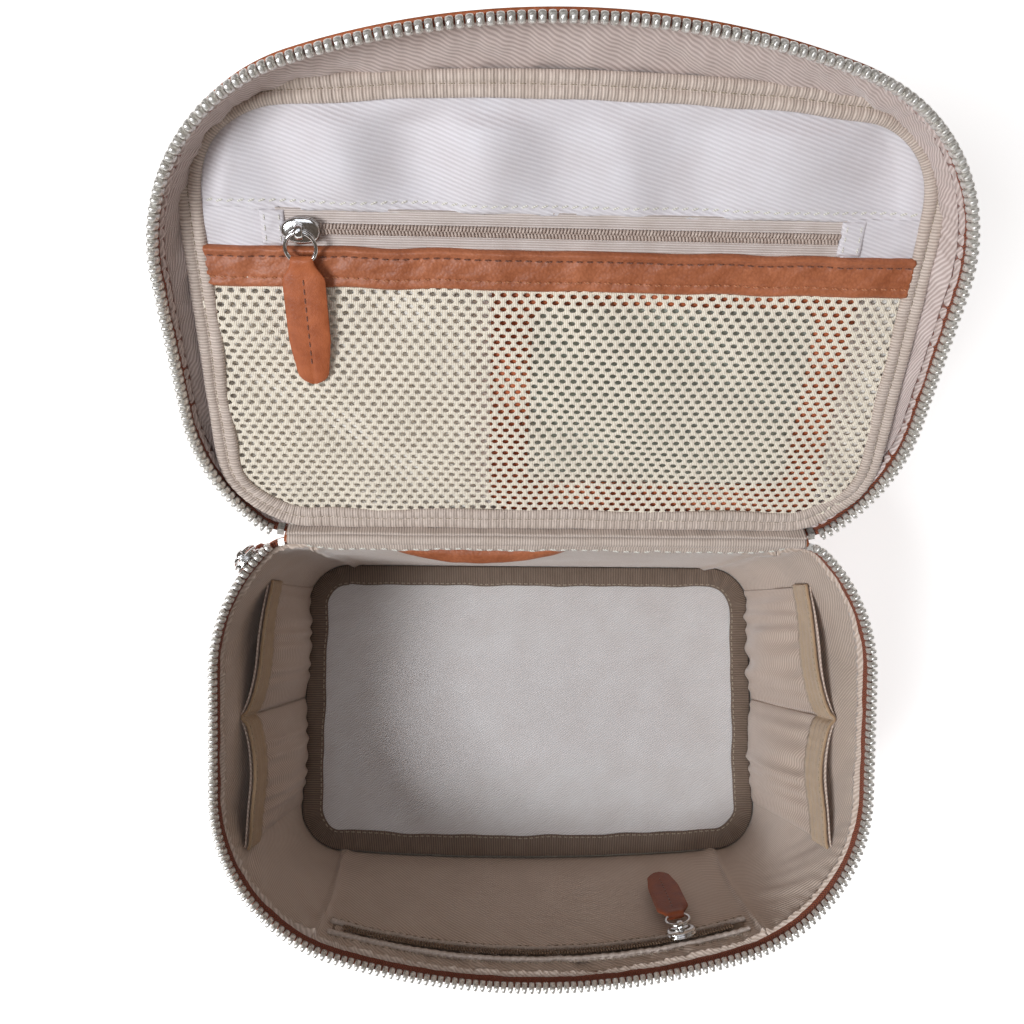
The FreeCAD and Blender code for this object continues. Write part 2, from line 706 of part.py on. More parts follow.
def lid_slider_nodes():
    coil_middle = (BAND_HIGH + ZIP_GAP + LID_ZIP_HIGH) / 2
    depth = POCKET_FACE + LID_COIL + LAYER_GAP + BAIL_STAND
    origin = panel_point(LID_SLIDER_X, coil_middle, depth)
    y_way = panel_point(0, 1, 0) - panel_point(0, 0, 0)
    return dict(
        lid_zip_slider=seat(slider_shape(), origin, X_AXIS, y_way),
        lid_zip_ring=seat(tilted(ring_shape(), PULL_TILT_LID), origin, X_AXIS, y_way),
        lid_zip_pull=seat(tilted(pull_shape(), PULL_TILT_LID), origin, X_AXIS, y_way),
    )


def all_nodes():
    circle = front_zip_circle()
    nodes = {}
    nodes.update(base_nodes())
    nodes.update(wall_nodes(circle))
    nodes.update(pocket_nodes())
    nodes.update(front_zip_nodes(circle))
    nodes.update(main_zip_nodes())
    for group in (lid_shell_nodes(), lid_pocket_nodes(), mirror_nodes(), lid_slider_nodes()):
        for name, shape in group.items():
            nodes[name] = opened(shape)
    return nodes


os.makedirs("parts", exist_ok=True)
for node, shape in all_nodes().items():
    shape.exportStep(f"parts/{node}.step")
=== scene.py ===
import json
import math

import bmesh
import bpy
import numpy as np
from mathutils import Matrix, Vector


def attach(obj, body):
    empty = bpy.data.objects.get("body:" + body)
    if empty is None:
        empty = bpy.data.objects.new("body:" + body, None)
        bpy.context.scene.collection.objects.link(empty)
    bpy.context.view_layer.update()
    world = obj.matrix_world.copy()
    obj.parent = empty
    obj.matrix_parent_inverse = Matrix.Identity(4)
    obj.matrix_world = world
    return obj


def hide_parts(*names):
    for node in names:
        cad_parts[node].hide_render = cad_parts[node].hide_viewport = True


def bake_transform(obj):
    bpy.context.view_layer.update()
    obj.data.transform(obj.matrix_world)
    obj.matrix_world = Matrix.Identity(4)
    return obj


# A leather jewellery case, open, on a pale floor. Lengths below are in millimetres.
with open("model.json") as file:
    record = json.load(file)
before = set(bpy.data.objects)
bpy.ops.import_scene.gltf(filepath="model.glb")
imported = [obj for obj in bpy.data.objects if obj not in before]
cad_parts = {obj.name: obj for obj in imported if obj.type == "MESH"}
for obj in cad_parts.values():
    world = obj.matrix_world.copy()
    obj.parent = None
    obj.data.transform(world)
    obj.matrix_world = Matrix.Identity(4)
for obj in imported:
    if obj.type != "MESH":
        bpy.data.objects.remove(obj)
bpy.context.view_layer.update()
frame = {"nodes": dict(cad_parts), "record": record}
MM = 0.001
WELD = 0.002

# Hinge line, rim plane and outlines of the case.
HINGE_Y, HINGE_Z = 69.0, 118.0
SLOPE = math.radians(9.0)
WEDGE = math.radians(6.3)
LID_OPEN = math.radians(146.0)
LID_BACK_HEIGHT = 11.0
RIM = dict(width=234.0, depth=161.0, turn_in=12.0, side=62.0, corner=62.0, front=250.0)
BASE = dict(width=212.0, depth=138.0, turn_in=22.0, side=22.0, corner=22.0, front=1200.0)
LID = dict(width=212.0, depth=141.0, turn_in=24.0, side=24.0, corner=28.0, front=900.0)
EDGES = 10

# Layers, zip and seams.
LEATHER = 1.4
WALL_INNER = 3.2
FLOOR_TOP = 3.4
SEAM = 8.0
WALL_SEAM_X = 82.0
ZIP_INSET = 1.4
TOOTH_PITCH = 2.5
ZIP_END_GAP = 4.0
MAIN_SLIDER_FROM_END = 15.0

# Pockets of the body, and the front pocket's zip.
POCKET_TOP = 84.0
POCKET_FLOOR = 5.8
POCKET_SPANS = dict(rear=(5.3, 55.0), front=(-42.0, 4.7))
# How far a pocket stands off the wall half-way down, and at its slack mouth.
POCKET_BOW, SOFT_BOW = 9.0, 5.0
ELASTIC_WIDTH = 14.0
FRONT_ZIP_DROP = 18.0
FRONT_ZIP_X = 78.0
FRONT_ZIP_CENTRE, FRONT_ZIP_RADIUS = -116.0, 273.1

# Pocket of the lid, as distances from the hinge and depths below the lid's outer face.
POCKET_FACE = 8.8
BAND_LOW, BAND_HIGH = 85.5, 97.0
LID_ZIP_HIGH = 107.5
LID_ZIP_X = 83.0
FRAME_X, FRAME_S = (-21.0, 92.0), (6.5, 93.0)
FRAME_BORDER = 13.5

# How far the pocket face's edge is inside the lid's outline at the hinge, and outside it elsewhere.
FACE_HINGE, FACE_REACH = 2.5, 4.0
FACE_BINDING = 7.2

# Pulls and their rings.
RING_RADIUS, RING_WIRE = 4.4, 0.62
PULL_LENGTH = 40.0
PULL_TILT_LID, PULL_TILT_FRONT = math.radians(4.5), math.radians(2.5)

# Camera: where it is, its turns about its own axes in radians, and its lens.
EYE = (-23.64, 44.71, 427.05)
EYE_TURNS = ((0.1099, "X"), (-0.0349, "Y"), (0.0104, "Z"))
SENSOR_WIDTH, FOCAL_LENGTH = 36.0, 31.64


# ---------------------------------------------------------------- places in the case

def stack(x, y, z):
    return np.stack(np.broadcast_arrays(x, y, z), axis=-1).astype(float)


def rim_place(x, s, n):
    """A point s from the hinge across the rim plane and n above that plane."""
    y = HINGE_Y - s * math.cos(SLOPE) - n * math.sin(SLOPE)
    z = HINGE_Z - s * math.sin(SLOPE) + n * math.cos(SLOPE)
    return stack(x, y, z)


def base_place(x, s, z):
    return stack(x, HINGE_Y - s, z)


def panel_place(x, s, depth):
    """A point s along the shut lid's top and the given depth below its outer face."""
    along = s * math.cos(WEDGE) + depth * math.sin(WEDGE)
    above = LID_BACK_HEIGHT + s * math.sin(WEDGE) - depth * math.cos(WEDGE)
    return rim_place(x, along, above)


def swing(points, angle=-LID_OPEN):
    """Turn points of the shut lid about the hinge line to where the open lid has them."""
    y, z = points[..., 1] - HINGE_Y, points[..., 2] - HINGE_Z
    turned_y = y * math.cos(angle) - z * math.sin(angle) + HINGE_Y
    turned_z = y * math.sin(angle) + z * math.cos(angle) + HINGE_Z
    return stack(points[..., 0], turned_y, turned_z)


def lid_place(x, s, depth):
    return swing(panel_place(x, s, depth))


def outline_at(form, inset, t):
    """x and s on an outline at t, which counts its ten edges from the back line's left end."""
    t = np.mod(np.asarray(t, float), EDGES)
    half, front = form["width"] / 2, form["front"]
    turn, side, corner = form["turn_in"], form["side"], form["corner"]
    diagonal = math.sqrt(0.5)
    back_x = half - turn * diagonal - side * (1 - diagonal)
    side_s = turn * (1 - diagonal) + side * diagonal
    front_s = form["depth"] - front
    corner_s = front_s + math.sqrt((front - corner) ** 2 - (half - corner) ** 2)
    sweep = math.atan2(corner_s - front_s, half - corner)
    is_left = t > 5.5
    u = np.where(is_left, EDGES + 1 - t, t)
    quarter = math.pi / 4
    arcs = (
        (back_x, turn, turn, -2 * quarter + (u - 1) * quarter),
        (half - side, side_s, side, -quarter + (u - 2) * quarter),
        (half - corner, corner_s, corner, (u - 4) * sweep),
        (0.0, front_s, front, sweep + (u - 5) * (math.pi - 2 * sweep)),
    )
    points = [(cx + (r - inset) * np.cos(a), cs + (r - inset) * np.sin(a)) for cx, cs, r, a in arcs]
    line = (half - inset + 0 * u, side_s + (u - 3) * (corner_s - side_s) + 0 * inset)
    back = (-back_x + 2 * back_x * t + 0 * inset, inset + 0 * t)
    conditions = [t + 0 * inset <= 1] + [u + 0 * inset <= edge for edge in (2, 3, 4, 5)]
    ordered = [back, points[0], points[1], line, points[2]]
    x = np.select(conditions, [p[0] for p in ordered], points[3][0])
    s = np.select(conditions, [p[1] for p in ordered], points[3][1])
    return np.where(is_left, -x, x), s


def back_half(form):
    diagonal = math.sqrt(0.5)
    return form["width"] / 2 - form["turn_in"] * diagonal - form["side"] * (1 - diagonal)


def wall_place(t, v, inset):
    """On the body's wall, v from 0 at the table to 1 at the zip seam."""
    lower = base_place(*outline_at(BASE, inset, t), 0.0)
    upper = rim_place(*outline_at(RIM, inset, t), -SEAM)
    return lower + (upper - lower) * np.asarray(v)[..., None]


def gusset_place(t, v, inset):
    """On the shut lid's gusset, v from 0 at the zip seam to 1 at the lid's outer face."""
    lower = rim_place(*outline_at(RIM, inset, t), SEAM)
    upper = panel_place(*outline_at(LID, inset, t), 0.0)
    return lower + (upper - lower) * np.asarray(v)[..., None]


def spread(form, inset, start, stop, count):
    """Values of t that are evenly spaced along an outline."""
    fine = np.linspace(start, stop, 4000)
    x, s = outline_at(form, inset, fine)
    steps = np.concatenate([[0.0], np.cumsum(np.hypot(np.diff(x), np.diff(s)))])
    return np.interp(np.linspace(0.0, steps[-1], count), steps, fine), steps[-1]


def seam_t(form, inset, at_front):
    """Where the seam at WALL_SEAM_X crosses an outline's right half."""
    fine = np.linspace(3.5, 5.5, 800) if at_front else np.linspace(0.6, 1.6, 800)
    x = outline_at(form, inset, fine)[0]
    if at_front:
        return float(np.interp(WALL_SEAM_X, x[::-1], fine[::-1]))
    return float(np.interp(WALL_SEAM_X, x, fine))


def wall_span(place, inset):
    """The range of t of one wall, at the rim and at the base."""
    spans = []
    for form in (RIM, BASE):
        rear, fore = seam_t(form, inset, False), seam_t(form, inset, True)
        spans.append(dict(
            back=(1 - rear, rear), right=(rear, fore),
            front=(fore, 11 - fore), left=(11 - fore, 11 - rear))[place])
    return spans


def face_x(y, z):
    """How far from the middle the right wall's lining is at y and z."""
    low, high = np.full(np.shape(y), 2.0), np.full(np.shape(y), 5.0)
    for _ in range(34):
        t = (low + high) / 2
        xb, sb = outline_at(BASE, WALL_INNER, t)
        xr, sr = outline_at(RIM, WALL_INNER, t)
        upper = rim_place(xr, sr, -SEAM)
        v = z / upper[..., 2]
        there = (1 - v) * (HINGE_Y - sb) + v * upper[..., 1]
        low, high = np.where(there > y, t, low), np.where(there > y, high, t)
    return (1 - v) * xb + v * xr


def pair(first, second):
    """Two values side by side at every point, such as a cloth's UV."""
    return np.stack(np.broadcast_arrays(first, second), -1)


def waves(p, q, length, seed, count=7):
    """Smooth bumps between about -1 and 1, with features of about the given length."""
    rng = np.random.RandomState(seed)
    total = 0.0
    for _ in range(count):
        angle, phase = rng.uniform(0, 2 * math.pi, 2)
        pitch = length * rng.uniform(0.7, 1.7)
        run = np.asarray(p) * math.cos(angle) + np.asarray(q) * math.sin(angle)
        total = total + np.sin(2 * math.pi * run / pitch + phase)
    return total / math.sqrt(count)


def smooth_step(x, start, stop):
    f = np.clip((np.asarray(x, float) - start) / (stop - start), 0.0, 1.0)
    return f * f * (3 - 2 * f)


# ---------------------------------------------------------------- meshes

def make_object(name, points, faces, corner_uv, body, slot, material):
    """An object from points in millimetres; corner_uv holds each face corner's place in the weave.

    A piece given no body is left without a parent."""
    mesh = bpy.data.meshes.new(name)
    mesh.from_pydata((np.asarray(points) * MM).tolist(), [], [list(map(int, f)) for f in faces])
    if corner_uv is not None:
        layer = mesh.uv_layers.new(name="Weave")
        layer.data.foreach_set("uv", np.asarray(corner_uv, float).ravel())
    solid = bmesh.new()
    solid.from_mesh(mesh)
    bmesh.ops.remove_doubles(solid, verts=solid.verts, dist=WELD * MM)
    bmesh.ops.recalc_face_normals(solid, faces=solid.faces)
    solid.to_mesh(mesh)
    solid.free()
    for face in mesh.polygons:
        face.use_smooth = True
    mesh.materials.append(material)
    piece = bpy.data.objects.new(name, mesh)
    bpy.context.scene.collection.objects.link(piece)
    if body:
        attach(piece, body)
    return piece


def shell(front, back, uv, wrap=False):
    """A closed skin between two grids of the same size; wrap joins the last column to the first."""
    rows, cols = front.shape[:2]
    count = rows * cols
    r, c = np.meshgrid(np.arange(rows - 1), np.arange(cols if wrap else cols - 1), indexing="ij")
    r, c = r.ravel(), c.ravel()
    rr = np.stack([r, r, r + 1, r + 1], 1)
    cc = np.stack([c, c + 1, c + 1, c], 1)
    top = rr * cols + cc % cols
    faces, corners = [top, top[:, ::-1] + count], [uv[rr, cc], uv[rr[:, ::-1], cc[:, ::-1]]]

    def rim(rows_at, cols_at):
        ring = rows_at * cols + cols_at % cols
        side = np.stack([ring[:-1], ring[1:], ring[1:] + count, ring[:-1] + count], 1)
        flat = uv[rows_at, cols_at]
        faces.append(side)
        corners.append(np.stack([flat[:-1], flat[1:], flat[1:], flat[:-1]], 1))
    every_col = np.arange(cols + 1 if wrap else cols)
    for row in (0, rows - 1):
        rim(np.full_like(every_col, row), every_col)
    if not wrap:
        for col in (0, cols - 1):
            rim(np.arange(rows), np.full(rows, col))
    points = np.concatenate([front.reshape(-1, 3), back.reshape(-1, 3)])
    return points, np.concatenate(faces), np.concatenate(corners)


def grid_normals(grid):
    across = np.gradient(grid, axis=1)
    along = np.gradient(grid, axis=0)
    normal = np.cross(across, along)
    return normal / np.maximum(np.linalg.norm(normal, axis=-1, keepdims=True), 1e-9)


def grid_uv(grid, wrap=False):
    """Real lengths along a grid's middle row and middle column, in millimetres."""
    rows, cols = grid.shape[:2]
    middle = grid[rows // 2]
    if wrap:
        middle = np.concatenate([middle, middle[:1]])
    u = np.concatenate([[0.0], np.cumsum(np.linalg.norm(np.diff(middle, axis=0), axis=1))])
    column = grid[:, cols // 2]
    v = np.concatenate([[0.0], np.cumsum(np.linalg.norm(np.diff(column, axis=0), axis=1))])
    return np.stack(np.meshgrid(u, v), -1)


def cloth(name, grid, thickness, body, slot, material, wrap=False, uv=None):
    """A closed layer whose visible face is the grid; a negative thickness goes the other way."""
    uv = grid_uv(grid, wrap) if uv is None else uv
    back = grid - grid_normals(grid) * thickness
    return make_object(name, *shell(grid, back, uv, wrap), body, slot, material)


def tube(path, radius, sides=8, closed=False):
    """Rings of points round a path, as a grid with the path along its rows."""
    path = np.asarray(path, float)
    if closed:
        run = np.roll(path, -1, axis=0) - np.roll(path, 1, axis=0)
    else:
        run = np.gradient(path, axis=0)
    run /= np.linalg.norm(run, axis=1, keepdims=True)
    seed = np.array([0.0, 0.0, 1.0]) if abs(run[0][2]) < 0.9 else np.array([1.0, 0.0, 0.0])
    side = []
    for way in run:
        seed = seed - way * seed.dot(way)
        seed /= np.linalg.norm(seed)
        side.append(seed)
    side = np.array(side)
    other = np.cross(run, side)
    angle = np.linspace(0, 2 * math.pi, sides, endpoint=False)
    rings = (side[:, None] * np.cos(angle)[None, :, None] + other[:, None] * np.sin(angle)[None, :, None])
    return path[:, None] + rings * np.reshape(radius, (-1, 1, 1) if np.ndim(radius) else (1, 1, 1))


def tube_parts(rings, closed):
    """Points and faces of a tube, with flat ends unless it is closed."""
    count, sides = rings.shape[:2]
    r, c = np.meshgrid(np.arange(count if closed else count - 1), np.arange(sides), indexing="ij")
    r, c = r.ravel(), c.ravel()
    faces = [[int(v) for v in f] for f in np.stack([
        (r % count) * sides + c, (r % count) * sides + (c + 1) % sides,
        ((r + 1) % count) * sides + (c + 1) % sides, ((r + 1) % count) * sides + c], 1)]
    if not closed:
        faces.append(list(range(sides))[::-1])
        faces.append([(count - 1) * sides + i for i in range(sides)])
    return rings.reshape(-1, 3), faces


def tube_object(name, path, radius, body, slot, material, sides=10, closed=False):
    points, faces = tube_parts(tube(path, radius, sides, closed), closed)
    return make_object(name, points, faces, None, body, slot, material)


def join_copies(unit, unit_faces, origins, xs, ys, zs):
    """Copies of one small shape, each placed by an origin and three directions."""
    placed = (origins[:, None] + unit[None, :, :1] * xs[:, None] + unit[None, :, 1:2] * ys[:, None]
              + unit[None, :, 2:] * zs[:, None])
    count = len(unit)
    faces = [[v + i * count for v in face] for i in range(len(origins)) for face in unit_faces]
    return placed.reshape(-1, 3), faces


def bead(length, radius, flat=1.0, rings=5, sides=6):
    """A rounded thread of the given length along X."""
    steps = np.linspace(0, math.pi, rings + 2)[1:-1]
    across = np.sin(steps) ** 0.6 * radius
    along = -np.cos(steps) * length / 2
    angle = np.linspace(0, 2 * math.pi, sides, endpoint=False)
    points = [[-length / 2, 0, 0]]
    for a, x in zip(across, along):
        points += [[x, a * math.cos(b), a * math.sin(b) * flat] for b in angle]
    points.append([length / 2, 0, 0])
    faces = [[0, 1 + (i + 1) % sides, 1 + i] for i in range(sides)]
    for ring in range(rings - 1):
        first = 1 + ring * sides
        faces += [[first + i, first + (i + 1) % sides, first + sides + (i + 1) % sides, first + sides + i]
                  for i in range(sides)]
    last = 1 + (rings - 1) * sides
    faces += [[last + i, last + (i + 1) % sides, last + sides] for i in range(sides)]
    return np.array(points, float), faces


def unit_rows(vectors):
    return vectors / np.maximum(np.linalg.norm(vectors, axis=-1, keepdims=True), 1e-9)


def stitches(name, path, normal, body, slot, material, pitch=2.9, share=0.68, radius=0.26, slant=0.0):
    """A row of thread stitches along a path that lies on a surface with the given normals."""
    path, normal = np.asarray(path, float), np.asarray(normal, float)
    steps = np.concatenate([[0.0], np.cumsum(np.linalg.norm(np.diff(path, axis=0), axis=1))])
    count = max(int(steps[-1] / pitch), 1)
    at = (np.arange(count) + 0.5) * steps[-1] / count
    origins = np.stack([np.interp(at, steps, path[:, i]) for i in range(3)], -1)
    run = np.gradient(path, axis=0)
    run = unit_rows(np.stack([np.interp(at, steps, run[:, i]) for i in range(3)], -1))
    up = unit_rows(np.stack([np.interp(at, steps, normal[:, i]) for i in range(3)], -1))
    across = unit_rows(np.cross(up, run))
    leaning = unit_rows(run * math.cos(slant) + across * math.sin(slant))
    unit, faces = bead(pitch * share, radius, flat=0.8)
    points, faces = join_copies(unit, faces, origins, leaning, unit_rows(np.cross(up, leaning)), up)
    return make_object(name, points, faces, None, body, slot, material)


# ---------------------------------------------------------------- materials

def linear(red, green, blue):
    """A colour given as screen values from 0 to 255."""
    values = [c / 255.0 for c in (red, green, blue)]
    return tuple(c / 12.92 if c <= 0.04045 else ((c + 0.055) / 1.055) ** 2.4 for c in values) + (1.0,)


class Surface:
    """A Principled material under construction."""

    def __init__(self, name, roughness, metallic=0.0, **values):
        self.material = bpy.data.materials.new(name)
        self.material.use_nodes = True
        self.tree = self.material.node_tree
        self.shader = self.tree.nodes["Principled BSDF"]
        self.shader.inputs["Roughness"].default_value = roughness
        self.shader.inputs["Metallic"].default_value = metallic
        for socket, value in values.items():
            self.shader.inputs[socket.replace("_", " ")].default_value = value
        self.last_normal = None

    def node(self, kind, inputs=None, **properties):
        node = self.tree.nodes.new("ShaderNode" + kind)
        for key, value in properties.items():
            setattr(node, key, value)
        for key, value in (inputs or {}).items():
            self.feed(node.inputs[key], value)
        return node

    def feed(self, socket, value):
        if isinstance(value, bpy.types.NodeSocket):
            self.tree.links.new(value, socket)
        else:
            socket.default_value = value

    def space(self, source="Object", scale=1.0, turn=0.0, shift=(0, 0, 0)):
        """Coordinates of the surface: Object in metres, or UV in millimetres along the cloth."""
        coordinates = self.node("TexCoord").outputs[source]
        inputs = {"Vector": coordinates, "Scale": (scale,) * 3, "Rotation": (0, 0, turn), "Location": shift}
        return self.node("Mapping", inputs).outputs["Vector"]

    def noise(self, vector, scale, detail=3.0, roughness=0.55):
        inputs = {"Vector": vector, "Scale": scale, "Detail": detail, "Roughness": roughness}
        return self.node("TexNoise", inputs).outputs["Fac"]

    def ribs(self, vector, pitch, distortion=0.0, direction="X", detail_scale=1.0):
        """Bands with the given pitch, in the vector's own units."""
        inputs = {"Vector": vector, "Scale": 2 * math.pi / 20 / pitch, "Distortion": distortion,
                  "Detail": 1.0, "Detail Scale": detail_scale}
        wave = self.node("TexWave", inputs, wave_type="BANDS", bands_direction=direction,
                         wave_profile="SIN")
        return wave.outputs["Fac"]

    def cells(self, vector, scale, feature="F1", smooth=None):
        kind = "SMOOTH_F1" if smooth else feature
        node = self.node("TexVoronoi", {"Vector": vector, "Scale": scale}, feature=kind)
        if smooth:
            node.inputs["Smoothness"].default_value = smooth
        return node.outputs["Distance"]

    def math(self, operation, *values):
        node = self.node("Math", operation=operation)
        for socket, value in zip(node.inputs, values):
            self.feed(socket, value)
        return node.outputs[0]

    def ramp(self, factor, *stops):
        """A colour ramp from pairs of position and colour."""
        node = self.node("ValToRGB", {"Fac": factor})
        elements = node.color_ramp.elements
        while len(elements) < len(stops):
            elements.new(0.5)
        for element, (position, colour) in zip(elements, stops):
            element.position = position
            element.color = colour
        return node.outputs["Color"]

    def mix(self, factor, first, second, mode="MIX"):
        node = self.node("Mix", data_type="RGBA", blend_type=mode)
        self.feed(node.inputs[0], factor)
        self.feed(node.inputs[6], first)
        self.feed(node.inputs[7], second)
        return node.outputs[2]

    def range(self, factor, low, high):
        inputs = {"Value": factor, "To Min": low, "To Max": high}
        return self.node("MapRange", inputs).outputs["Result"]

    def bump(self, height, depth, strength=1.0):
        """Raise the surface by a height of the given depth in millimetres."""
        inputs = {"Height": height, "Distance": depth * MM, "Strength": strength}
        if self.last_normal is not None:
            inputs["Normal"] = self.last_normal
        self.last_normal = self.node("Bump", inputs).outputs["Normal"]
        self.feed(self.shader.inputs["Normal"], self.last_normal)

    def paint(self, colour, roughness=None):
        self.feed(self.shader.inputs["Base Color"], colour)
        if roughness is not None:
            self.feed(self.shader.inputs["Roughness"], roughness)
        return self.material


def leather(name, dark, light, grain=1.1, roughness=0.42, depth=0.16):
    """Pebbled leather; grain is the size of its pebbles in millimetres."""
    skin = Surface(name, roughness, Specular_IOR_Level=0.45, Coat_Weight=0.06, Coat_Roughness=0.35)
    place = skin.space("Object", 1000.0)
    warp = skin.noise(place, 0.5 / grain)
    pebbles = skin.cells(place, 1.0 / grain, smooth=0.35)
    creases = skin.cells(place, 0.45 / grain, feature="DISTANCE_TO_EDGE")
    mottle = skin.noise(place, 0.055, 4.0, 0.6)
    colour = skin.ramp(mottle, (0.32, dark), (0.68, light))
    shade = skin.ramp(pebbles, (0.25, (1, 1, 1, 1)), (0.85, (0.72, 0.66, 0.62, 1)))
    colour = skin.mix(0.65, colour, shade, "MULTIPLY")
    skin.bump(pebbles, -depth)
    skin.bump(skin.math("MINIMUM", creases, 0.12), depth * 1.4)
    skin.bump(warp, depth * 0.6)
    return skin.paint(colour, skin.range(mottle, roughness - 0.07, roughness + 0.1))


def smooth_leather(name, dark, light, roughness=0.45):
    """Fine calf leather with faint pores and soft streaks."""
    skin = Surface(name, roughness, Specular_IOR_Level=0.45)
    place = skin.space("Object", 1000.0)
    mottle = skin.noise(place, 0.16, 5.0, 0.62)
    pores = skin.cells(place, 2.6)
    colour = skin.ramp(mottle, (0.3, dark), (0.7, light))
    dots = skin.ramp(pores, (0.1, (0.72, 0.68, 0.64, 1)), (0.28, (1, 1, 1, 1)))
    colour = skin.mix(0.5, colour, dots, "MULTIPLY")
    skin.bump(pores, 0.05)
    skin.bump(skin.noise(place, 1.3, 3.0), 0.12)
    return skin.paint(colour, skin.range(mottle, roughness - 0.06, roughness + 0.1))


def twill(name, dark, light, pitch=1.5, turn=0.35, roughness=0.62, depth=0.13, sheen=0.35):
    """Woven lining whose ribs rise at an angle; pitch is in millimetres."""
    weave = Surface(name, roughness, Sheen_Weight=sheen, Sheen_Roughness=0.4)
    place = weave.space("UV", 1.0, turn)
    ribs = weave.ribs(place, pitch, 0.5, "Y", 0.6)
    yarns = weave.ribs(place, pitch * 0.36, 0.3, "X", 0.8)
    cross = weave.math("MULTIPLY", ribs, weave.range(yarns, 0.75, 1.0))
    fibre = weave.noise(weave.space("UV", 1.0), 2.4, 3.0)
    colour = weave.ramp(cross, (0.1, dark), (0.8, light))
    tint = weave.ramp(weave.noise(place, 0.07, 3.0), (0.3, (0.93, 0.91, 0.9, 1)), (0.7, (1, 1, 1, 1)))
    colour = weave.mix(1.0, colour, tint, "MULTIPLY")
    weave.bump(cross, depth)
    weave.bump(fibre, 0.05)
    return weave.paint(colour, weave.range(cross, roughness + 0.12, roughness - 0.06))


def ribbon(name, dark, light, pitch=0.85, direction="X", roughness=0.7, depth=0.16):
    """Grosgrain tape; direction X puts its ribs across the tape, and Y along it."""
    tape = Surface(name, roughness, Sheen_Weight=0.3, Sheen_Roughness=0.45)
    place = tape.space("UV", 1.0)
    ribs = tape.ribs(place, pitch, 0.35, direction, 0.5)
    other = tape.ribs(place, 0.45, 0.3, "Y" if direction == "X" else "X")
    height = tape.math("MULTIPLY", ribs, tape.range(other, 0.8, 1.0))
    patch = tape.noise(place, 0.14, 3.0)
    colour = tape.ramp(height, (0.05, dark), (0.85, light))
    tint = tape.ramp(patch, (0.3, (0.86, 0.84, 0.82, 1)), (0.7, (1, 1, 1, 1)))
    tape.bump(height, depth)
    tape.bump(tape.noise(place, 2.2, 2.0), 0.05)
    return tape.paint(tape.mix(1.0, colour, tint, "MULTIPLY"))


def herringbone(name, dark, light, pitch=0.9, centre=2.6):
    """Woven zip tape: ribs that meet in a chevron down the tape's middle."""
    tape = Surface(name, 0.66, Sheen_Weight=0.25, Sheen_Roughness=0.45)
    parts = tape.node("SeparateXYZ", {"Vector": tape.space("UV", 1.0)})
    folded = tape.math("PINGPONG", parts.outputs["Y"], centre)
    rising = tape.math("ADD", parts.outputs["X"], folded)
    wave = tape.math("SINE", tape.math("MULTIPLY", rising, 2 * math.pi / pitch))
    height = tape.range(wave, 0.0, 1.0)
    tape.tree.nodes[-1].inputs["From Min"].default_value = -1.0
    fibre = tape.noise(tape.space("UV", 1.0), 2.0, 3.0)
    colour = tape.ramp(height, (0.1, dark), (0.9, light))
    worn = tape.ramp(fibre, (0.3, (0.7, 0.68, 0.66, 1)), (0.7, (1, 1, 1, 1)))
    colour = tape.mix(0.5, colour, worn, "MULTIPLY")
    tape.bump(height, 0.14)
    tape.bump(fibre, 0.05)
    return tape.paint(colour)


def metal(name, dark, light, roughness, scratch=0.02, metallic=1.0):
    steel = Surface(name, roughness, metallic)
    place = steel.space("Object", 1000.0)
    patches = steel.noise(place, 0.9, 4.0)
    scratches = steel.noise(place, 6.0, 2.0)
    steel.bump(scratches, scratch)
    colour = steel.ramp(patches, (0.3, dark), (0.7, light))
    return steel.paint(colour, steel.range(patches, roughness * 0.75, roughness * 1.3))


def thread(name, dark, light):
    yarn = Surface(name, 0.6, Sheen_Weight=0.3)
    place = yarn.space("Object", 1000.0)
    strands = yarn.ribs(place, 0.5, 1.0, "DIAGONAL")
    yarn.bump(strands, 0.06)
    return yarn.paint(yarn.ramp(strands, (0.1, dark), (0.9, light)))


def knit(name, dark, light):
    """Knitted pocket mesh between its holes."""
    net = Surface(name, 0.72, Sheen_Weight=0.4, Sheen_Roughness=0.5)
    place = net.space("UV", 1.0)
    loops = net.ribs(place, 0.55, 1.2, "X")
    net.bump(loops, 0.1)
    net.bump(net.noise(place, 2.6, 3.0), 0.08)
    return net.paint(net.ramp(loops, (0.1, dark), (0.9, light)))


def plain(name, dark, light, roughness, scale=0.8, depth=0.05):
    """Moulded or pressed stuff with fine mottling."""
    stuff = Surface(name, roughness)
    place = stuff.space("Object", 1000.0)
    mottle = stuff.noise(place, scale, 4.0)
    stuff.bump(stuff.noise(place, scale * 4, 3.0), depth)
    return stuff.paint(stuff.ramp(mottle, (0.3, dark), (0.7, light)),
                       stuff.range(mottle, roughness - 0.05, roughness + 0.08))


def silvered_glass():
    glass = Surface("mirror_silver", 0.03, 0.5, Coat_Weight=0.6, Coat_Roughness=0.02)
    film = glass.noise(glass.space("Object", 1000.0), 0.05, 4.0)
    colour = glass.ramp(film, (0.3, linear(196, 204, 196)), (0.7, linear(216, 222, 214)))
    return glass.paint(colour, glass.range(film, 0.02, 0.06))


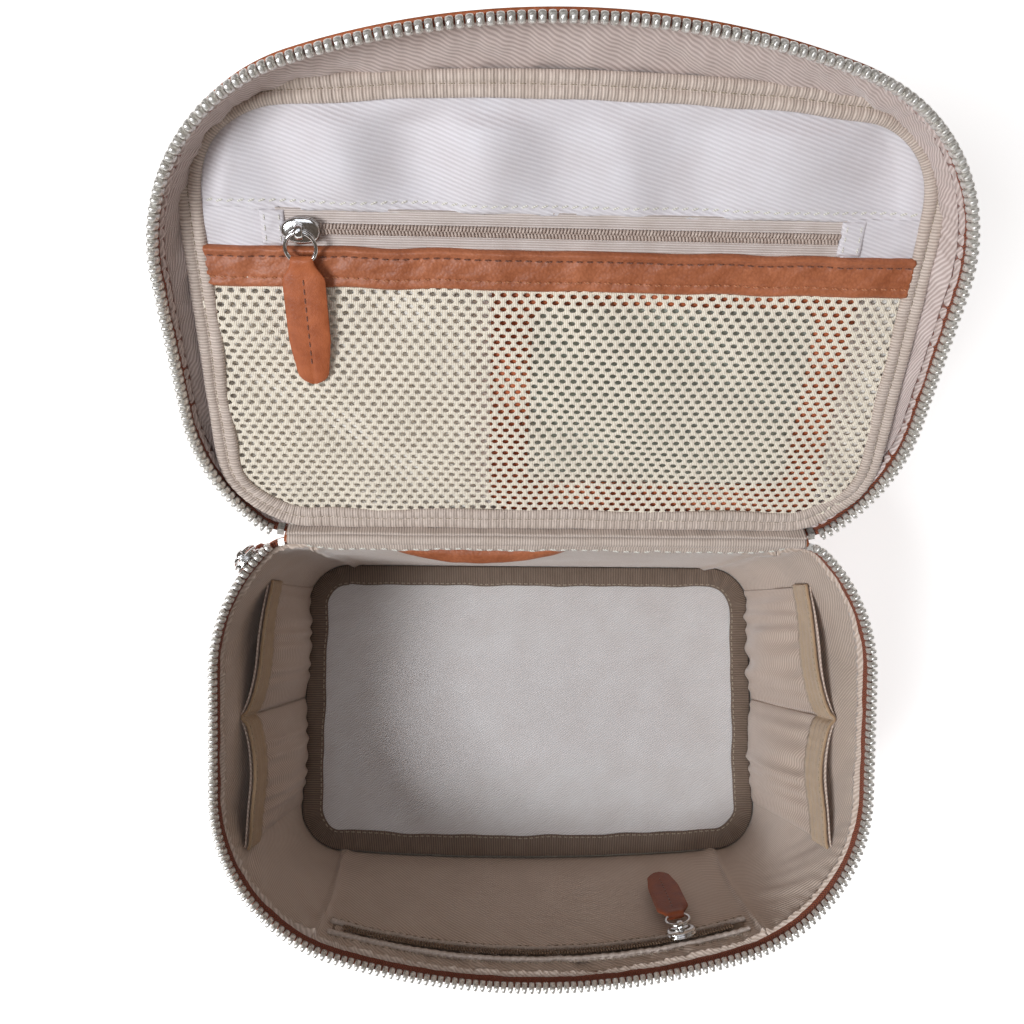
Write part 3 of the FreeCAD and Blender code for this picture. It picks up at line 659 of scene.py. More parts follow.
M = dict(
    shell=leather("tan_shell_leather", linear(152, 80, 44), linear(184, 104, 62)),
    band=leather("tan_band_leather", linear(154, 86, 52), linear(190, 116, 78), 0.9, 0.5, 0.12),
    # The frame's leather is painted lighter than the band's: painted light to offset the shade it sits in
    # under the mesh.
    frame=leather("mirror_frame_leather_brightened", linear(176, 92, 56), linear(206, 120, 80), 0.9),
    pull=smooth_leather("tan_pull_leather", linear(150, 76, 40), linear(184, 102, 60)),
    # The front pull's leather is a darker copy of the pull leather: painted shade for the shade it hangs in
    # at the front wall.
    front_pull=smooth_leather("shaded_pull_leather", linear(120, 56, 28), linear(152, 78, 42)),
    lid_twill=twill("lid_twill", linear(210, 204, 207), linear(226, 221, 224), 1.15, 0.3),
    gusset=twill("gusset_twill", linear(184, 165, 158), linear(222, 206, 200), 1.25, 0.6),
    lining=twill("body_twill", linear(188, 168, 152), linear(218, 200, 186), 1.25, 0.75),
    pocket=twill("pocket_twill", linear(184, 162, 146), linear(214, 196, 182), 1.2, 0.75),
    # The backing's twill is painted near white, lighter than the other lining: painted light for the light
    # that reaches it close behind the mesh holes.
    backing=twill("backing_twill_painted_light", linear(240, 234, 226), linear(250, 246, 240), 1.5, 0.3),
    floor=twill("floor_twill", linear(196, 191, 190), linear(216, 212, 210), 0.9, 0.6),
    binding=ribbon("floor_grosgrain", linear(84, 68, 56), linear(138, 118, 102), 0.8),
    lid_binding=ribbon("lid_grosgrain", linear(182, 164, 152), linear(222, 206, 194), 0.9),
    elastic=ribbon("elastic_webbing", linear(170, 140, 108), linear(206, 178, 144), 0.7, "Y"),
    main_tape=herringbone("main_zip_herringbone", linear(96, 40, 20), linear(158, 80, 46)),
    beige_tape=ribbon("beige_zip_tape_weave", linear(190, 174, 166), linear(228, 216, 210), 0.7, "Y"),
    mesh=knit("mesh_yarn", linear(224, 208, 184), linear(252, 243, 226)),
    teeth=metal("teeth_silver", linear(196, 192, 184), linear(244, 241, 236), 0.28, 0.02, 0.62),
    chrome=metal("slider_chrome", linear(190, 188, 186), linear(236, 235, 233), 0.14, 0.008),
    coil=plain("coil_nylon", linear(160, 138, 126), linear(204, 186, 174), 0.38),
    brown_coil=plain("front_coil_nylon", linear(96, 74, 56), linear(146, 122, 100), 0.4),
    board=plain("grey_board", linear(120, 112, 100), linear(150, 142, 128), 0.85),
    mirror=silvered_glass(),
    roll=plain("lip_twill", linear(178, 162, 150), linear(214, 200, 190), 0.7, 1.2, 0.1),
    front_tape=ribbon("front_zip_tape_weave", linear(104, 84, 66), linear(150, 130, 110), 0.7, "Y"),
    white_thread=thread("white_thread", linear(190, 184, 172), linear(240, 236, 226)),
    tan_thread=thread("tan_thread", linear(150, 84, 46), linear(196, 124, 78)),
    dark_thread=thread("brown_thread", linear(84, 42, 22), linear(128, 70, 40)),
    beige_thread=thread("beige_thread", linear(132, 116, 98), linear(176, 160, 140)),
)


# ---------------------------------------------------------------- body of the case

def wall_ts(place, inset, v, cols):
    """Values of t over one wall for rows at heights v, and the wall's length at the rim."""
    (a, b), (a0, b0) = wall_span(place, inset)
    t_rim, length = spread(RIM, inset, a, b, cols)
    share = np.linspace(0, 1, cols)
    t_base = t_rim + (a0 - a) * (1 - share) + (b0 - b) * share
    return t_base * (1 - v) + t_rim * v, t_rim, length


def leather_wall(place, seed):
    """One leather wall, turned under at the base and folded in at the zip tape."""
    radius, wall_height, cols = 4.5, 105.0, 170
    bend = np.linspace(0.05, 1, 7) * math.pi / 2
    v_bend = radius * (1 - np.cos(bend)) / wall_height
    v = np.concatenate([v_bend, np.linspace(radius / wall_height, 1, 34)[1:]])[:, None]
    turned = np.concatenate([radius * (1 - np.sin(bend)), np.zeros(33)])[:, None]
    t, t_rim, length = wall_ts(place, 0.0, v, cols)
    along = np.linspace(0, length, cols)[None, :]
    edge = np.minimum(along, length - along)
    height = v * wall_height
    dip = 1.0 * np.exp(-(edge / 1.6) ** 2) + 0.5 * np.exp(-(((edge - 4.2) / 0.5) ** 2))
    pillow = 1.3 * smooth_step(edge, 0, 16) * np.sin(np.pi * np.clip(v, 0, 1)) ** 0.7
    soft = 0.35 * waves(along, height, 34, seed)
    inset = turned + dip * smooth_step(v, 0, 0.05) - pillow - soft * np.sin(np.pi * v)
    top_dip = 0.45 * np.exp(-(((wall_height - height) - 3.4) / 0.6) ** 2)
    wall = wall_place(t, v, inset + top_dip)
    fold = []
    for turn in np.linspace(0.2, 1, 5) * math.pi / 2:
        x, s = outline_at(RIM, 0.95 * (1 - np.cos(turn)) + inset[-1], t_rim)
        fold.append(rim_place(x, s, -SEAM + 0.8 * np.sin(turn)))
    grid = np.concatenate([wall, np.array(fold)])
    piece = cloth(f"{place}_wall_skin", grid, -1.0, "case", "tan_leather", M["shell"])
    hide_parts(f"{place}_wall_leather")
    name = f"{place}_wall_topstitch"
    seam_row = len(grid) - 9
    normal = -grid_normals(grid)
    stitches(name, grid[seam_row] + normal[seam_row] * 0.1, normal[seam_row], "case", "tan_leather",
             M["tan_thread"], 3.2)
    for side, col in (("a", np.argmin(abs(along[0] - 4.2))), ("b", np.argmin(abs(along[0] - length + 4.2)))):
        column, up = grid[8:-8, col], normal[8:-8, col]
        stitches(f"{place}_wall_seam_stitch_{side}", column + up * 0.1, up, "case", "tan_leather",
                 M["tan_thread"], 3.2)


def disc(form, inset, place, heights, shares, cols=260):
    """Rings that fill an outline from its middle; heights has one row for each share."""
    t = np.linspace(0, EDGES, cols, endpoint=False)
    x, s = outline_at(form, inset, t)
    centre_s = form["depth"] / 2
    shares = np.asarray(shares)[:, None]
    xs, ss = x[None] * shares, centre_s + (s[None] - centre_s) * shares
    uv_x, uv_s = np.concatenate([xs, xs[:, :1]], 1), np.concatenate([ss, ss[:, :1]], 1)
    return place(xs, ss, heights(xs, ss, shares)), np.stack([uv_x, uv_s], -1)


def base_skin():
    shares = np.concatenate([np.linspace(0, 0.96, 12), [0.985, 1.0]])
    grid, uv = disc(BASE, 3.4, base_place, lambda x, s, r: 0.25 * smooth_step(r, 0.93, 1.0) + 0 * x, shares)
    points, faces, corners = shell(grid, grid + [0, 0, 1.2], uv, wrap=True)
    piece = make_object("base_skin", points, faces, corners, "case", "tan_leather", M["shell"])
    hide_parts("base_leather")


def wall_lining(place, seed):
    """One lining panel, with soft creases and a puckered roll along the zip tape."""
    wall_height, rows = 105.0, 46
    v = np.linspace(0.034, 1, rows)[:, None]
    cols = {"back": 150, "front": 190}.get(place, 190)
    t, t_rim, length = wall_ts(place, WALL_INNER, v, cols)
    along = np.linspace(0, length, cols)[None, :]
    edge = np.minimum(along, length - along)
    height = v * wall_height
    upper = smooth_step(v, 0.35, 0.95)
    soft = 0.42 * waves(along, height * 0.6, 36, seed) * smooth_step(v, 0.05, 0.4)
    soft = soft + 0.3 * waves(along + height * 0.7, height * 0.25, 11, seed + 1) * upper
    gather = 0.22 * np.sin(2 * math.pi * along / 5.2 + 1.5 * waves(along, 0, 24, seed + 2))
    soft = soft + gather * smooth_step(v, 0.86, 1.0)
    ridge = 1.3 * np.exp(-(edge / 1.5) ** 2)
    inset = WALL_INNER + 0.1 + soft + ridge
    grid = wall_place(t, v, inset)
    pucker = 1 + 0.28 * np.sin(2 * math.pi * along[0] / 3.1 + waves(along[0], 0, 16, seed + 3))
    roll = []
    for turn in np.linspace(0.12, 1, 9) * math.pi:
        bulge = 1.15 * np.sin(turn) * pucker - 1.35 * (1 - np.cos(turn)) / 2
        middle = inset[-1] * (1 + np.cos(turn)) / 2 + 3.3 * (1 - np.cos(turn)) / 2
        x, s = outline_at(RIM, middle + bulge, t_rim)
        roll.append(rim_place(x, s, -SEAM + 1.5 * (1 - np.cos(turn)) / 2))
    grid = np.concatenate([grid, np.array(roll)])
    piece = cloth(f"{place}_lining", grid, 0.6, "case", "lining_twill", M["lining"])
    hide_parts(f"{place}_wall_lining")


def floor_pieces():
    def crowned(x, s, r):
        return 4.5 + 0.9 * (1 - r ** 2) + 0.22 * waves(x, s, 60, 31) - 0.3 * smooth_step(r, 0.93, 1.0)
    shares = np.concatenate([np.linspace(0, 0.92, 24), [0.95, 0.98, 1.0]])
    grid, uv = disc(BASE, 4.2, base_place, crowned, shares, 320)
    flat = grid.copy()
    flat[..., 2] = FLOOR_TOP + 0.02
    pad = make_object("floor_pad", *shell(grid, flat, uv, wrap=True), "case", "floor_fabric", M["floor"])
    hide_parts("floor_lining")

    cols, width = 720, 8.9
    t, _ = spread(BASE, 6.0, 0.0, EDGES, cols + 1)
    t = t[:-1]
    x, s = outline_at(BASE, 6.0, t)
    distance = np.concatenate([[0], np.cumsum(np.hypot(np.diff(x), np.diff(s)))])
    corner = np.exp(-(((np.abs(x) - 92) / 16) ** 2)) * np.exp(-(((np.minimum(s, 138 - s) - 8) / 14) ** 2))
    ripple = 0.16 + 0.4 * corner
    lanes = np.linspace(1, 0, 11)
    rows, uvs = [], []
    length = distance[-1] + math.hypot(x[0] - x[-1], s[0] - s[-1])
    for lane in lanes:
        wander = 0.35 * waves(distance, lane * 5, 24, 12) * lane
        xx, ss = outline_at(BASE, 3.5 + width * lane + wander, t)
        arch = 0.75 * np.sin(np.pi * np.clip(lane, 0.04, 0.96)) ** 0.5
        phase = 2 * math.pi * distance / 6.1 + waves(distance, 0, 30, 13)
        wave = ripple * np.sin(phase) * np.sin(math.pi * lane)
        rows.append(base_place(xx, ss, 4.95 + arch + wave + 0.2 * waves(distance, lane * 8, 20, 14)))
        uvs.append(np.stack([np.append(distance, length), np.full(cols + 1, width * lane)], -1))
    grid = np.array(rows)
    low = grid.copy()
    low[..., 2] = np.maximum(grid[..., 2] - 0.7, 4.3)
    ribbon_piece = make_object("floor_ribbon", *shell(grid, low, np.array(uvs), wrap=True), "case",
                               "binding_tape", M["binding"])
    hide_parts("floor_binding")
    up = np.zeros_like(grid[0]) + [0, 0, 1]
    stitches("floor_ribbon_stitches", grid[1] + up * 0.12, up, "case", "binding_tape", M["beige_thread"], 2.6)


def pocket_stand(share, fall):
    """How far a pocket stands off its wall, across its width and down its height."""
    belly = np.sin(np.pi * np.clip((fall - 0.2) / 0.8, 0, 1))
    slack = SOFT_BOW - 3.0 * fall + (POCKET_BOW - SOFT_BOW) * belly
    return slack * (4 * share * (1 - share)) ** 0.8


def gathered_pocket(side, place, seed):
    """One fabric pocket, gathered under its elastic and along the floor; side is 1 on the right."""
    y0, y1 = POCKET_SPANS[place]
    rows, cols = 72, 110
    z = np.linspace(POCKET_TOP, POCKET_FLOOR, rows)[:, None]
    share = np.linspace(0, 1, cols)[None, :]
    y = y0 + (y1 - y0) * share
    fall = (POCKET_TOP - z) / (POCKET_TOP - POCKET_FLOOR)
    along = (y - y0) * 1.15
    bow = pocket_stand(share, fall)
    pleat_wave = np.sin(2 * math.pi * along / 8.2 + 2.2 * waves(along, 0, 26, seed) + 0.9 * fall)
    below = np.clip((fall - 0.17) / 0.83, 0, 1)
    depth = 1.25 * np.exp(-below * 2.2) + 0.4 * np.exp(-(1 - below) * 5.0)
    depth = depth * np.sin(np.pi * share) ** 0.35
    creases = 0.6 * waves(along * 1.3, z * 0.35, 17, seed + 1) * np.sin(np.pi * share) ** 0.5
    folds = pleat_wave * depth + creases
    folds = folds * smooth_step(fall, 0.17, 0.3)
    x = face_x(y + 0 * z, z + 0 * y) - 0.5 - bow - folds
    grid = stack(x * side, y + 0 * z, z + 0 * y)
    name = f"{'right' if side > 0 else 'left'}_{place}_pocket"
    piece = cloth(name + "_cloth", grid, 0.6 * side, "case", "lining_twill", M["pocket"])
    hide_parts(name)


def elastic_band(side):
    """Ribbed elastic along the mouths of one side's pockets, nipped in at the seam between them."""
    rows, cols = 27, 260
    z = np.linspace(POCKET_TOP + 0.6, POCKET_TOP - ELASTIC_WIDTH + 0.6, rows)[:, None]
    y = np.linspace(-42.4, 55.4, cols)[None, :]
    first, last = POCKET_SPANS["front"], POCKET_SPANS["rear"]
    span = np.where(y < 5, (y - first[0]) / (first[1] - first[0]), (y - last[0]) / (last[1] - last[0]))
    span = np.clip(span, 0, 1)
    across = POCKET_TOP + 0.6 - z
    bow = pocket_stand(span, across / (POCKET_TOP - POCKET_FLOOR))
    seam = np.exp(-(((y - 5) / 1.3) ** 2))
    ribs = 0.26 * np.abs(np.sin(np.pi * across / 3.4))
    gathers = 0.12 * np.sin(2 * math.pi * y / 4.6 + waves(y, 0, 15, 41 + side))
    gathers = gathers * (0.4 + 0.6 * across / ELASTIC_WIDTH)
    x = face_x(y + 0 * z, z + 0 * y) - 2.3 - bow - ribs - gathers + 0.9 * seam
    z_wavy = z + 0.5 * waves(y, 0, 26, 43 + side) + 0 * y
    grid = stack(x * side, y + 0 * z, z_wavy)
    where = "right" if side > 0 else "left"
    piece = cloth(f"{where}_elastic", grid, 1.0 * side, "case", "elastic_band", M["elastic"])
    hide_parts(f"{where}_pocket_elastic")
    normal = grid_normals(grid) * -side
    for row, label in ((2, "top"), (rows - 3, "bottom")):
        stitches(f"{where}_elastic_stitches_{label}", grid[row] + normal[row] * 0.12, normal[row], "case",
                 "elastic_band", M["beige_thread"], 2.4)
    column = int(np.argmin(abs(y[0] - 5)))
    divider = grid[:, column] + normal[:, column] * 0.15
    stitches(f"{where}_elastic_divider", divider, normal[:, column], "case", "elastic_band",
             M["dark_thread"], 2.2)


def front_place(x_along, inward, up):
    """Along the front zip's curve, inward from the wall's face and up across the zip."""
    angle = x_along / FRONT_ZIP_RADIUS
    radius = FRONT_ZIP_RADIUS - inward
    return rim_place(radius * np.sin(angle), FRONT_ZIP_CENTRE + radius * np.cos(angle), -FRONT_ZIP_DROP + up)


def front_zip():
    cols = 260
    along = np.linspace(-FRONT_ZIP_X, FRONT_ZIP_X, cols)[None, :]
    up = np.linspace(-3.2, 3.2, 13)[:, None]
    inward = 0.55 + 0.12 * waves(along, up, 18, 51)
    grid = front_place(along + 0 * up, inward, up + 0 * along)
    uv = pair(along, up)
    back = front_place(along + 0 * up, inward - 0.5, up + 0 * along)
    tape = make_object("front_zip_tape_cloth", *shell(grid, back, uv), "case", "beige_zip_tape",
                       M["front_tape"])
    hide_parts("front_pocket_zip_tape")
    pitch = 1.05
    at = np.arange(-FRONT_ZIP_X + 4, FRONT_ZIP_X - 4, pitch)
    zip_coil("front_zip_coil_loops", at, lambda a, up, lift: front_place(a, 1.3 + lift, up), "case",
             M["brown_coil"], "front_pocket_zip_coil")
    for label, sign in (("upper", 1), ("lower", -1)):
        line = np.linspace(-FRONT_ZIP_X - 1.5, FRONT_ZIP_X + 1.5, 240)
        wobble = 0.16 * waves(line, 0, 14, 53 + sign)
        centre = front_place(line, 0.9 + 0 * line, sign * (3.7 + wobble))
        radius = 1.05 + 0.14 * np.sin(2 * math.pi * line / 3.3 + waves(line, 0, 20, 55 + sign))
        tube_object(f"front_zip_lip_{label}", centre, radius, "case", "lining_twill", M["roll"], 12)
        row = front_place(line, 1.0 + 0 * line, sign * (5.9 + wobble))
        normal = front_place(line, 2.0 + 0 * line, sign * (5.9 + wobble)) - row
        stitches(f"front_zip_stitches_{label}", row, normal, "case", "lining_twill", M["beige_thread"], 2.8)


def zip_coil(name, at, place, body, material, node):
    """Two facing rows of nylon loops along a zip; place takes a distance, a height and a lift."""
    pitch = at[1] - at[0]
    parts, faces, count = [], [], 0
    for sign in (-1, 1):
        shifted = at + (pitch / 2 if sign > 0 else 0)
        middle = place(shifted, np.full_like(at, sign * 0.72), np.full_like(at, 0.42))
        run = unit_rows(place(shifted + 0.5, np.full_like(at, sign * 0.72), np.full_like(at, 0.42)) - middle)
        across = unit_rows(place(shifted, np.full_like(at, sign * 1.7), np.full_like(at, 0.42)) - middle)
        up = unit_rows(np.cross(run, across))
        leaning = unit_rows(across + run * 0.28)
        unit, unit_faces = bead(1.9, pitch * 0.43, 1.2, 4, 6)
        points, new = join_copies(unit, unit_faces, middle, leaning, unit_rows(np.cross(up, leaning)), up)
        parts.append(points)
        faces += [[v + count for v in face] for face in new]
        count += len(points)
    piece = make_object(name, np.concatenate(parts), faces, None, body, "nylon_coil", material)
    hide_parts(node)


# ---------------------------------------------------------------- main zip

def main_tape(side):
    """Herringbone tape between the teeth and the seam, with a corded edge under the teeth."""
    t, length = spread(RIM, ZIP_INSET, 1.0, EDGES, 620)
    lanes = np.array([2.9, 3.4, 3.9, 4.6, 5.4, 6.2, 7.2, 8.4])
    thick = np.array([0.6, 0.75, 0.6, 0.36, 0.36, 0.36, 0.36, 0.36])
    distance = np.linspace(0, length, 620)
    grids = []
    for sign in (1, -1):
        rows = []
        for lane, half in zip(lanes, thick):
            wave = 0.1 * waves(distance, lane, 12, 61) * smooth_step(lane, 3.6, 5)
            lean = 1.1 * smooth_step(lane, 3.4, 7.5)
            x, s = outline_at(RIM, ZIP_INSET + lean + sign * half + wave, t)
            points = rim_place(x, s, side * lane)
            rows.append(points if side < 0 else swing(points))
        grids.append(np.array(rows))
    uv = np.stack(np.meshgrid(distance, lanes - lanes[0]), -1)
    where, body = ("body", "case") if side < 0 else ("lid", "lid")
    piece = make_object(f"zip_tape_{where}", *shell(grids[0], grids[1], uv), body, "main_zip_tape",
                        M["main_tape"])
    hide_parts(f"main_zip_tape_{where}")


def main_teeth(side):
    """All the cast teeth of one side, each with a rounded head and two feet round the tape."""
    _, length = spread(RIM, ZIP_INSET, 1.0, EDGES, 50)
    usable = length - 2 * ZIP_END_GAP
    count = int(usable / TOOTH_PITCH)
    first = ZIP_END_GAP + (usable - count * TOOTH_PITCH) / 2 + (TOOTH_PITCH / 2 if side > 0 else 0)
    fine = np.linspace(1.0, EDGES, 6000)
    x, s = outline_at(RIM, ZIP_INSET, fine)
    steps = np.concatenate([[0.0], np.cumsum(np.hypot(np.diff(x), np.diff(s)))])
    at = first + np.arange(count) * TOOTH_PITCH

    def on_path(where):
        return np.interp(where, steps, x), np.interp(where, steps, s)
    px, ps = on_path(at)
    qx, qs = on_path(at + 0.2)
    zero = rim_place(0.0, 0.0, 0.0)
    run = unit_rows(rim_place(qx - px, qs - ps, 0.0) - zero)
    across = unit_rows(rim_place(qs - ps, px - qx, 0.0) - zero)
    up = np.zeros_like(run) + (rim_place(0.0, 0.0, 1.0) - zero) * side
    profile = [(0.5, -0.5), (0.95, -0.3), (1.2, 0.15), (1.15, 0.6), (0.95, 0.95), (1.1, 1.3),
               (1.42, 1.75), (1.5, 2.5), (1.38, 3.15), (0.75, 3.25)]
    slices = ((-0.56, 0.72), (-0.46, 0.95), (0.0, 1.04), (0.46, 0.95), (0.56, 0.72))
    loop = [(a, n) for a, n in profile] + [(-a, n) for a, n in reversed(profile)]
    sides = len(loop)
    unit = []
    for along, scale in slices:
        for a, n in loop:
            foot = 1 + 0.75 * float(smooth_step(n, 0.7, 1.4))
            unit.append([along * foot, a * scale, 1.4 + (n - 1.4) * (0.9 + 0.1 * scale)])
    faces = []
    for layer in range(len(slices) - 1):
        for i in range(sides):
            j = (i + 1) % sides
            below, above = layer * sides, (layer + 1) * sides
            faces.append([below + i, below + j, above + j, above + i])
    for layer in (0, len(slices) - 1):
        first_v = layer * sides
        faces += [[first_v + i, first_v + i + 1, first_v + sides - 2 - i, first_v + sides - 1 - i]
                  for i in range(len(profile) - 1)]
    points, faces = join_copies(np.array(unit), faces, rim_place(px, ps, 0.0), run, across, up)
    where, body = ("body", "case") if side < 0 else ("lid", "lid")
    if side > 0:
        points = swing(points)
    piece = make_object(f"zip_teeth_{where}", points, faces, None, body, "teeth_metal", M["teeth"])
    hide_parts(f"main_zip_teeth_{where}")


def hinge_skin():
    """The leather hinge, one strip from the body's seam round the fold to the lid's seam."""
    half = back_half(RIM)
    outer_body = [rim_place(0.0, 0.05, -n) for n in (8.6, 6.5, 4.4, 2.2, 0.7)]
    outer_lid = [swing(rim_place(0.0, 0.05, n)) for n in (0.7, 2.2, 4.4, 6.5, 8.6)]
    hinge = rim_place(0.0, 0.0, 0.0)
    inner_lid = [swing(rim_place(0.0, LEATHER, n)) for n in (8.6, 6.5, 4.4, 2.2, 0.5)]
    fan = [swing(rim_place(0.0, LEATHER, 0.0), -LID_OPEN * f) for f in (1.0, 0.75, 0.5, 0.25, 0.0)]
    inner_body = [rim_place(0.0, LEATHER, -n) for n in (0.5, 2.2, 4.4, 6.5, 8.6)]
    loop = np.array(outer_body + [hinge] + outer_lid + inner_lid + fan + inner_body)
    xs = np.linspace(-half, half, 120)
    rings = np.repeat(loop[None], len(xs), axis=0)
    rings[..., 0] = xs[:, None]
    sag = 0.35 * waves(xs, 0, 30, 71) * np.cos(np.pi * xs / 2 / half) ** 2
    rings[:, 11:, 2] += sag[:, None]
    points, faces = tube_parts(rings, False)
    piece = make_object("hinge_skin", points, faces, None, None, "tan_leather", M["shell"])
    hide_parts("hinge_leather_body", "hinge_leather_lid")
    away = rim_place(0.0, -1.0, 0.0) - hinge
    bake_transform(piece)


def hinge_cover():
    """Ribbed tape over the inside of the fold, from the body's side round to the lid's side, attached to
    neither half.
    """
    xs = np.linspace(1 - back_half(RIM), back_half(RIM) - 1, 200)
    shares = np.linspace(0.0, 1.0, 7)
    sides = []
    for depth in (LEATHER + 0.55, LEATHER + 0.1):
        line = [rim_place(0.0, depth, -n) for n in (1.6, 1.0, 0.4)]
        line += [swing(rim_place(0.0, depth, 0.0), -LID_OPEN * f) for f in shares]
        line += [swing(rim_place(0.0, depth, n)) for n in (0.4, 1.4, 2.6)]
        grid = np.repeat(np.array(line)[:, None], len(xs), axis=1)
        grid[..., 0] = xs
        sides.append(grid)
    uv = np.stack(np.meshgrid(xs, np.arange(len(line)) * 0.8), -1)
    piece = make_object("hinge_cover", *shell(sides[0], sides[1], uv), None, "binding_tape", M["lid_binding"])
    hinge = rim_place(0.0, 0.0, 0.0)
    away = rim_place(0.0, -1.0, 0.0) - hinge
    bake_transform(piece)


# ---------------------------------------------------------------- lid

def lid_panel_skin():
    def padded_face(x, s, r):
        return -1.2 * (1 - r ** 4) + 0.15 * waves(x, s, 70, 81) * (1 - r)
    shares = np.concatenate([np.linspace(0, 0.95, 24), [0.97, 0.985, 1.0]])
    grid, uv = disc(LID, 4.2, lid_place, padded_face, shares, 300)
    flat, _ = disc(LID, 4.2, lid_place, lambda x, s, r: 1.25 + 0 * x, shares, 300)
    piece = make_object("lid_panel_skin", *shell(grid, flat, uv, wrap=True), "lid", "tan_leather", M["shell"])
    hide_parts("lid_leather_panel")
    row = grid[-4]
    normal = row - flat[-4]
    stitches("lid_panel_topstitch", row + unit_rows(normal) * 0.12, normal, "lid", "tan_leather",
             M["tan_thread"], 3.2)


def gusset_skin():
    """The lid's leather side, folded in at the zip tape and turned over onto the panel."""
    cols = 640
    t, length = spread(RIM, 0.0, 0.0, EDGES, cols + 1)
    t = t[:-1]
    distance = np.linspace(0, length, cols + 1)
    radius = 4.4
    v = np.linspace(0, 1, 15)[:, None]
    share = np.sin(np.pi * v)
    inset = -0.8 * share - 0.25 * waves(distance[:-1][None], v * 20, 40, 83) * share
    inset = inset + 0.45 * np.exp(-((v - 0.14) / 0.04) ** 2)
    rows = []
    for turn in np.linspace(1, 0.2, 5) * math.pi / 2:
        x, s = outline_at(RIM, 0.95 * (1 - np.cos(turn)), t)
        rows.append(rim_place(x, s, SEAM - 0.8 * np.sin(turn)))
    top = 1 - 0.16
    body = gusset_place(t[None] + 0 * v, v * top, inset)
    rows += list(body)
    last = body[-1]
    edge_points = panel_place(*outline_at(LID, radius, t), 0.0)
    corner_points = gusset_place(t, np.ones_like(t), np.full_like(t, -0.2))
    for f in np.linspace(0.15, 1, 8):
        rows.append(last * (1 - f) ** 2 + corner_points * 2 * f * (1 - f) + edge_points * f ** 2)
    grid = swing(np.array(rows))
    column = grid_uv(grid)[:, 0, 1]
    uv = np.stack(np.meshgrid(distance, column), -1)
    normal = grid_normals(np.concatenate([grid, grid[:, :1]], 1))[:, :-1]
    piece = make_object("gusset_skin", *shell(grid, grid + normal * 1.0, uv, wrap=True), "lid", "tan_leather",
                        M["shell"])
    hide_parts("lid_gusset_leather")
    stitches("gusset_topstitch", grid[8] - normal[8] * 0.12, -normal[8], "lid", "tan_leather",
             M["tan_thread"], 3.2)


def gusset_lining_piece():
    """Puffy lining round the inside of the lid's side, with a puckered roll at the zip tape."""
    cols = 760
    t, length = spread(RIM, 2.2, 0.985, EDGES + 0.015, cols)
    distance = np.linspace(0, length, cols)
    v = np.linspace(0, 0.86, 20)[:, None]
    swell = np.sin(np.pi * np.clip(v / 0.86, 0, 1)) ** 0.8
    inset = 2.3 + 1.1 * swell + 0.45 * waves(distance[None], v * 30, 15, 91) * swell
    phase = 2 * math.pi * distance[None] / 4.4 + waves(distance[None], 0, 22, 92)
    inset = inset + 0.2 * np.sin(phase) * (1 - v) ** 2
    body = gusset_place(t[None] + 0 * v, v, inset)
    pucker = 1 + 0.28 * np.sin(2 * math.pi * distance / 3.1 + waves(distance, 0, 16, 93))
    rows = []
    for turn in np.linspace(1, 0.12, 9) * math.pi:
        bulge = 1.0 * np.sin(turn) * pucker - 0.35 * (1 - np.cos(turn)) / 2
        x, s = outline_at(RIM, inset[0] + bulge, t)
        rows.append(rim_place(x, s, SEAM - 2.7 * (1 - np.cos(turn)) / 2))
    grid = swing(np.array(rows + list(body)))
    piece = cloth("gusset_lining", grid, 0.5, "lid", "lining_twill", M["gusset"])
    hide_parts("lid_gusset_lining")


def face_outline(inset, t):
    """The edge of the lid's pocket face, which meets the gusset's lining except along the hinge."""
    _, s = outline_at(LID, 0.0, t)
    return outline_at(LID, inset + FACE_HINGE - (FACE_HINGE + FACE_REACH) * smooth_step(s, 2, 30), t)


def face_half(inset, s):
    """Half the width of the lid's pocket face at a distance from the hinge."""
    fine = np.linspace(1.0, 5.5, 1500)
    x, at = face_outline(inset, fine)
    return np.interp(s, at, x)


def panel_binding():
    """Grosgrain binding round the lid's panel, sewn down the middle into two puffy channels."""
    cols, width = 900, FACE_BINDING
    t, _ = spread(LID, 5.0, 0.0, EDGES, cols + 1)
    t = t[:-1]
    x, s = face_outline(3.0, t)
    distance = np.concatenate([[0], np.cumsum(np.hypot(np.diff(x), np.diff(s)))])
    length = distance[-1] + math.hypot(x[0] - x[-1], s[0] - s[-1])
    lanes = np.linspace(0, 1, 17)
    rows, lows, uvs = [], [], []
    crimp = np.sin(2 * math.pi * distance / 2.7 + 1.4 * waves(distance, 0, 18, 101))
    for lane in lanes:
        channel = np.abs(np.sin(2 * math.pi * lane)) ** 0.6
        wander = 0.3 * waves(distance, 0, 22, 102) * lane
        xx, ss = face_outline(width * lane + wander, t)
        puff = 1.15 * channel + 0.38 * crimp * channel
        depth = POCKET_FACE + 0.15 + puff + 0.2 * waves(distance, lane * 9, 15, 103)
        rows.append(lid_place(xx, ss, depth))
        lows.append(lid_place(xx, ss, POCKET_FACE - 0.25 + 0 * xx))
        uvs.append(np.stack([np.append(distance, length), np.full(cols + 1, width * lane)], -1))
    skin = shell(np.array(rows), np.array(lows), np.array(uvs), wrap=True)
    piece = make_object("panel_binding", *skin, "lid", "binding_tape", M["lid_binding"])
    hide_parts("lid_panel_binding")
    middle = rows[8]
    stitches("panel_binding_stitches", middle + unit_rows(middle - lows[8]) * 0.1, middle - lows[8], "lid",
             "binding_tape", M["beige_thread"], 2.7)


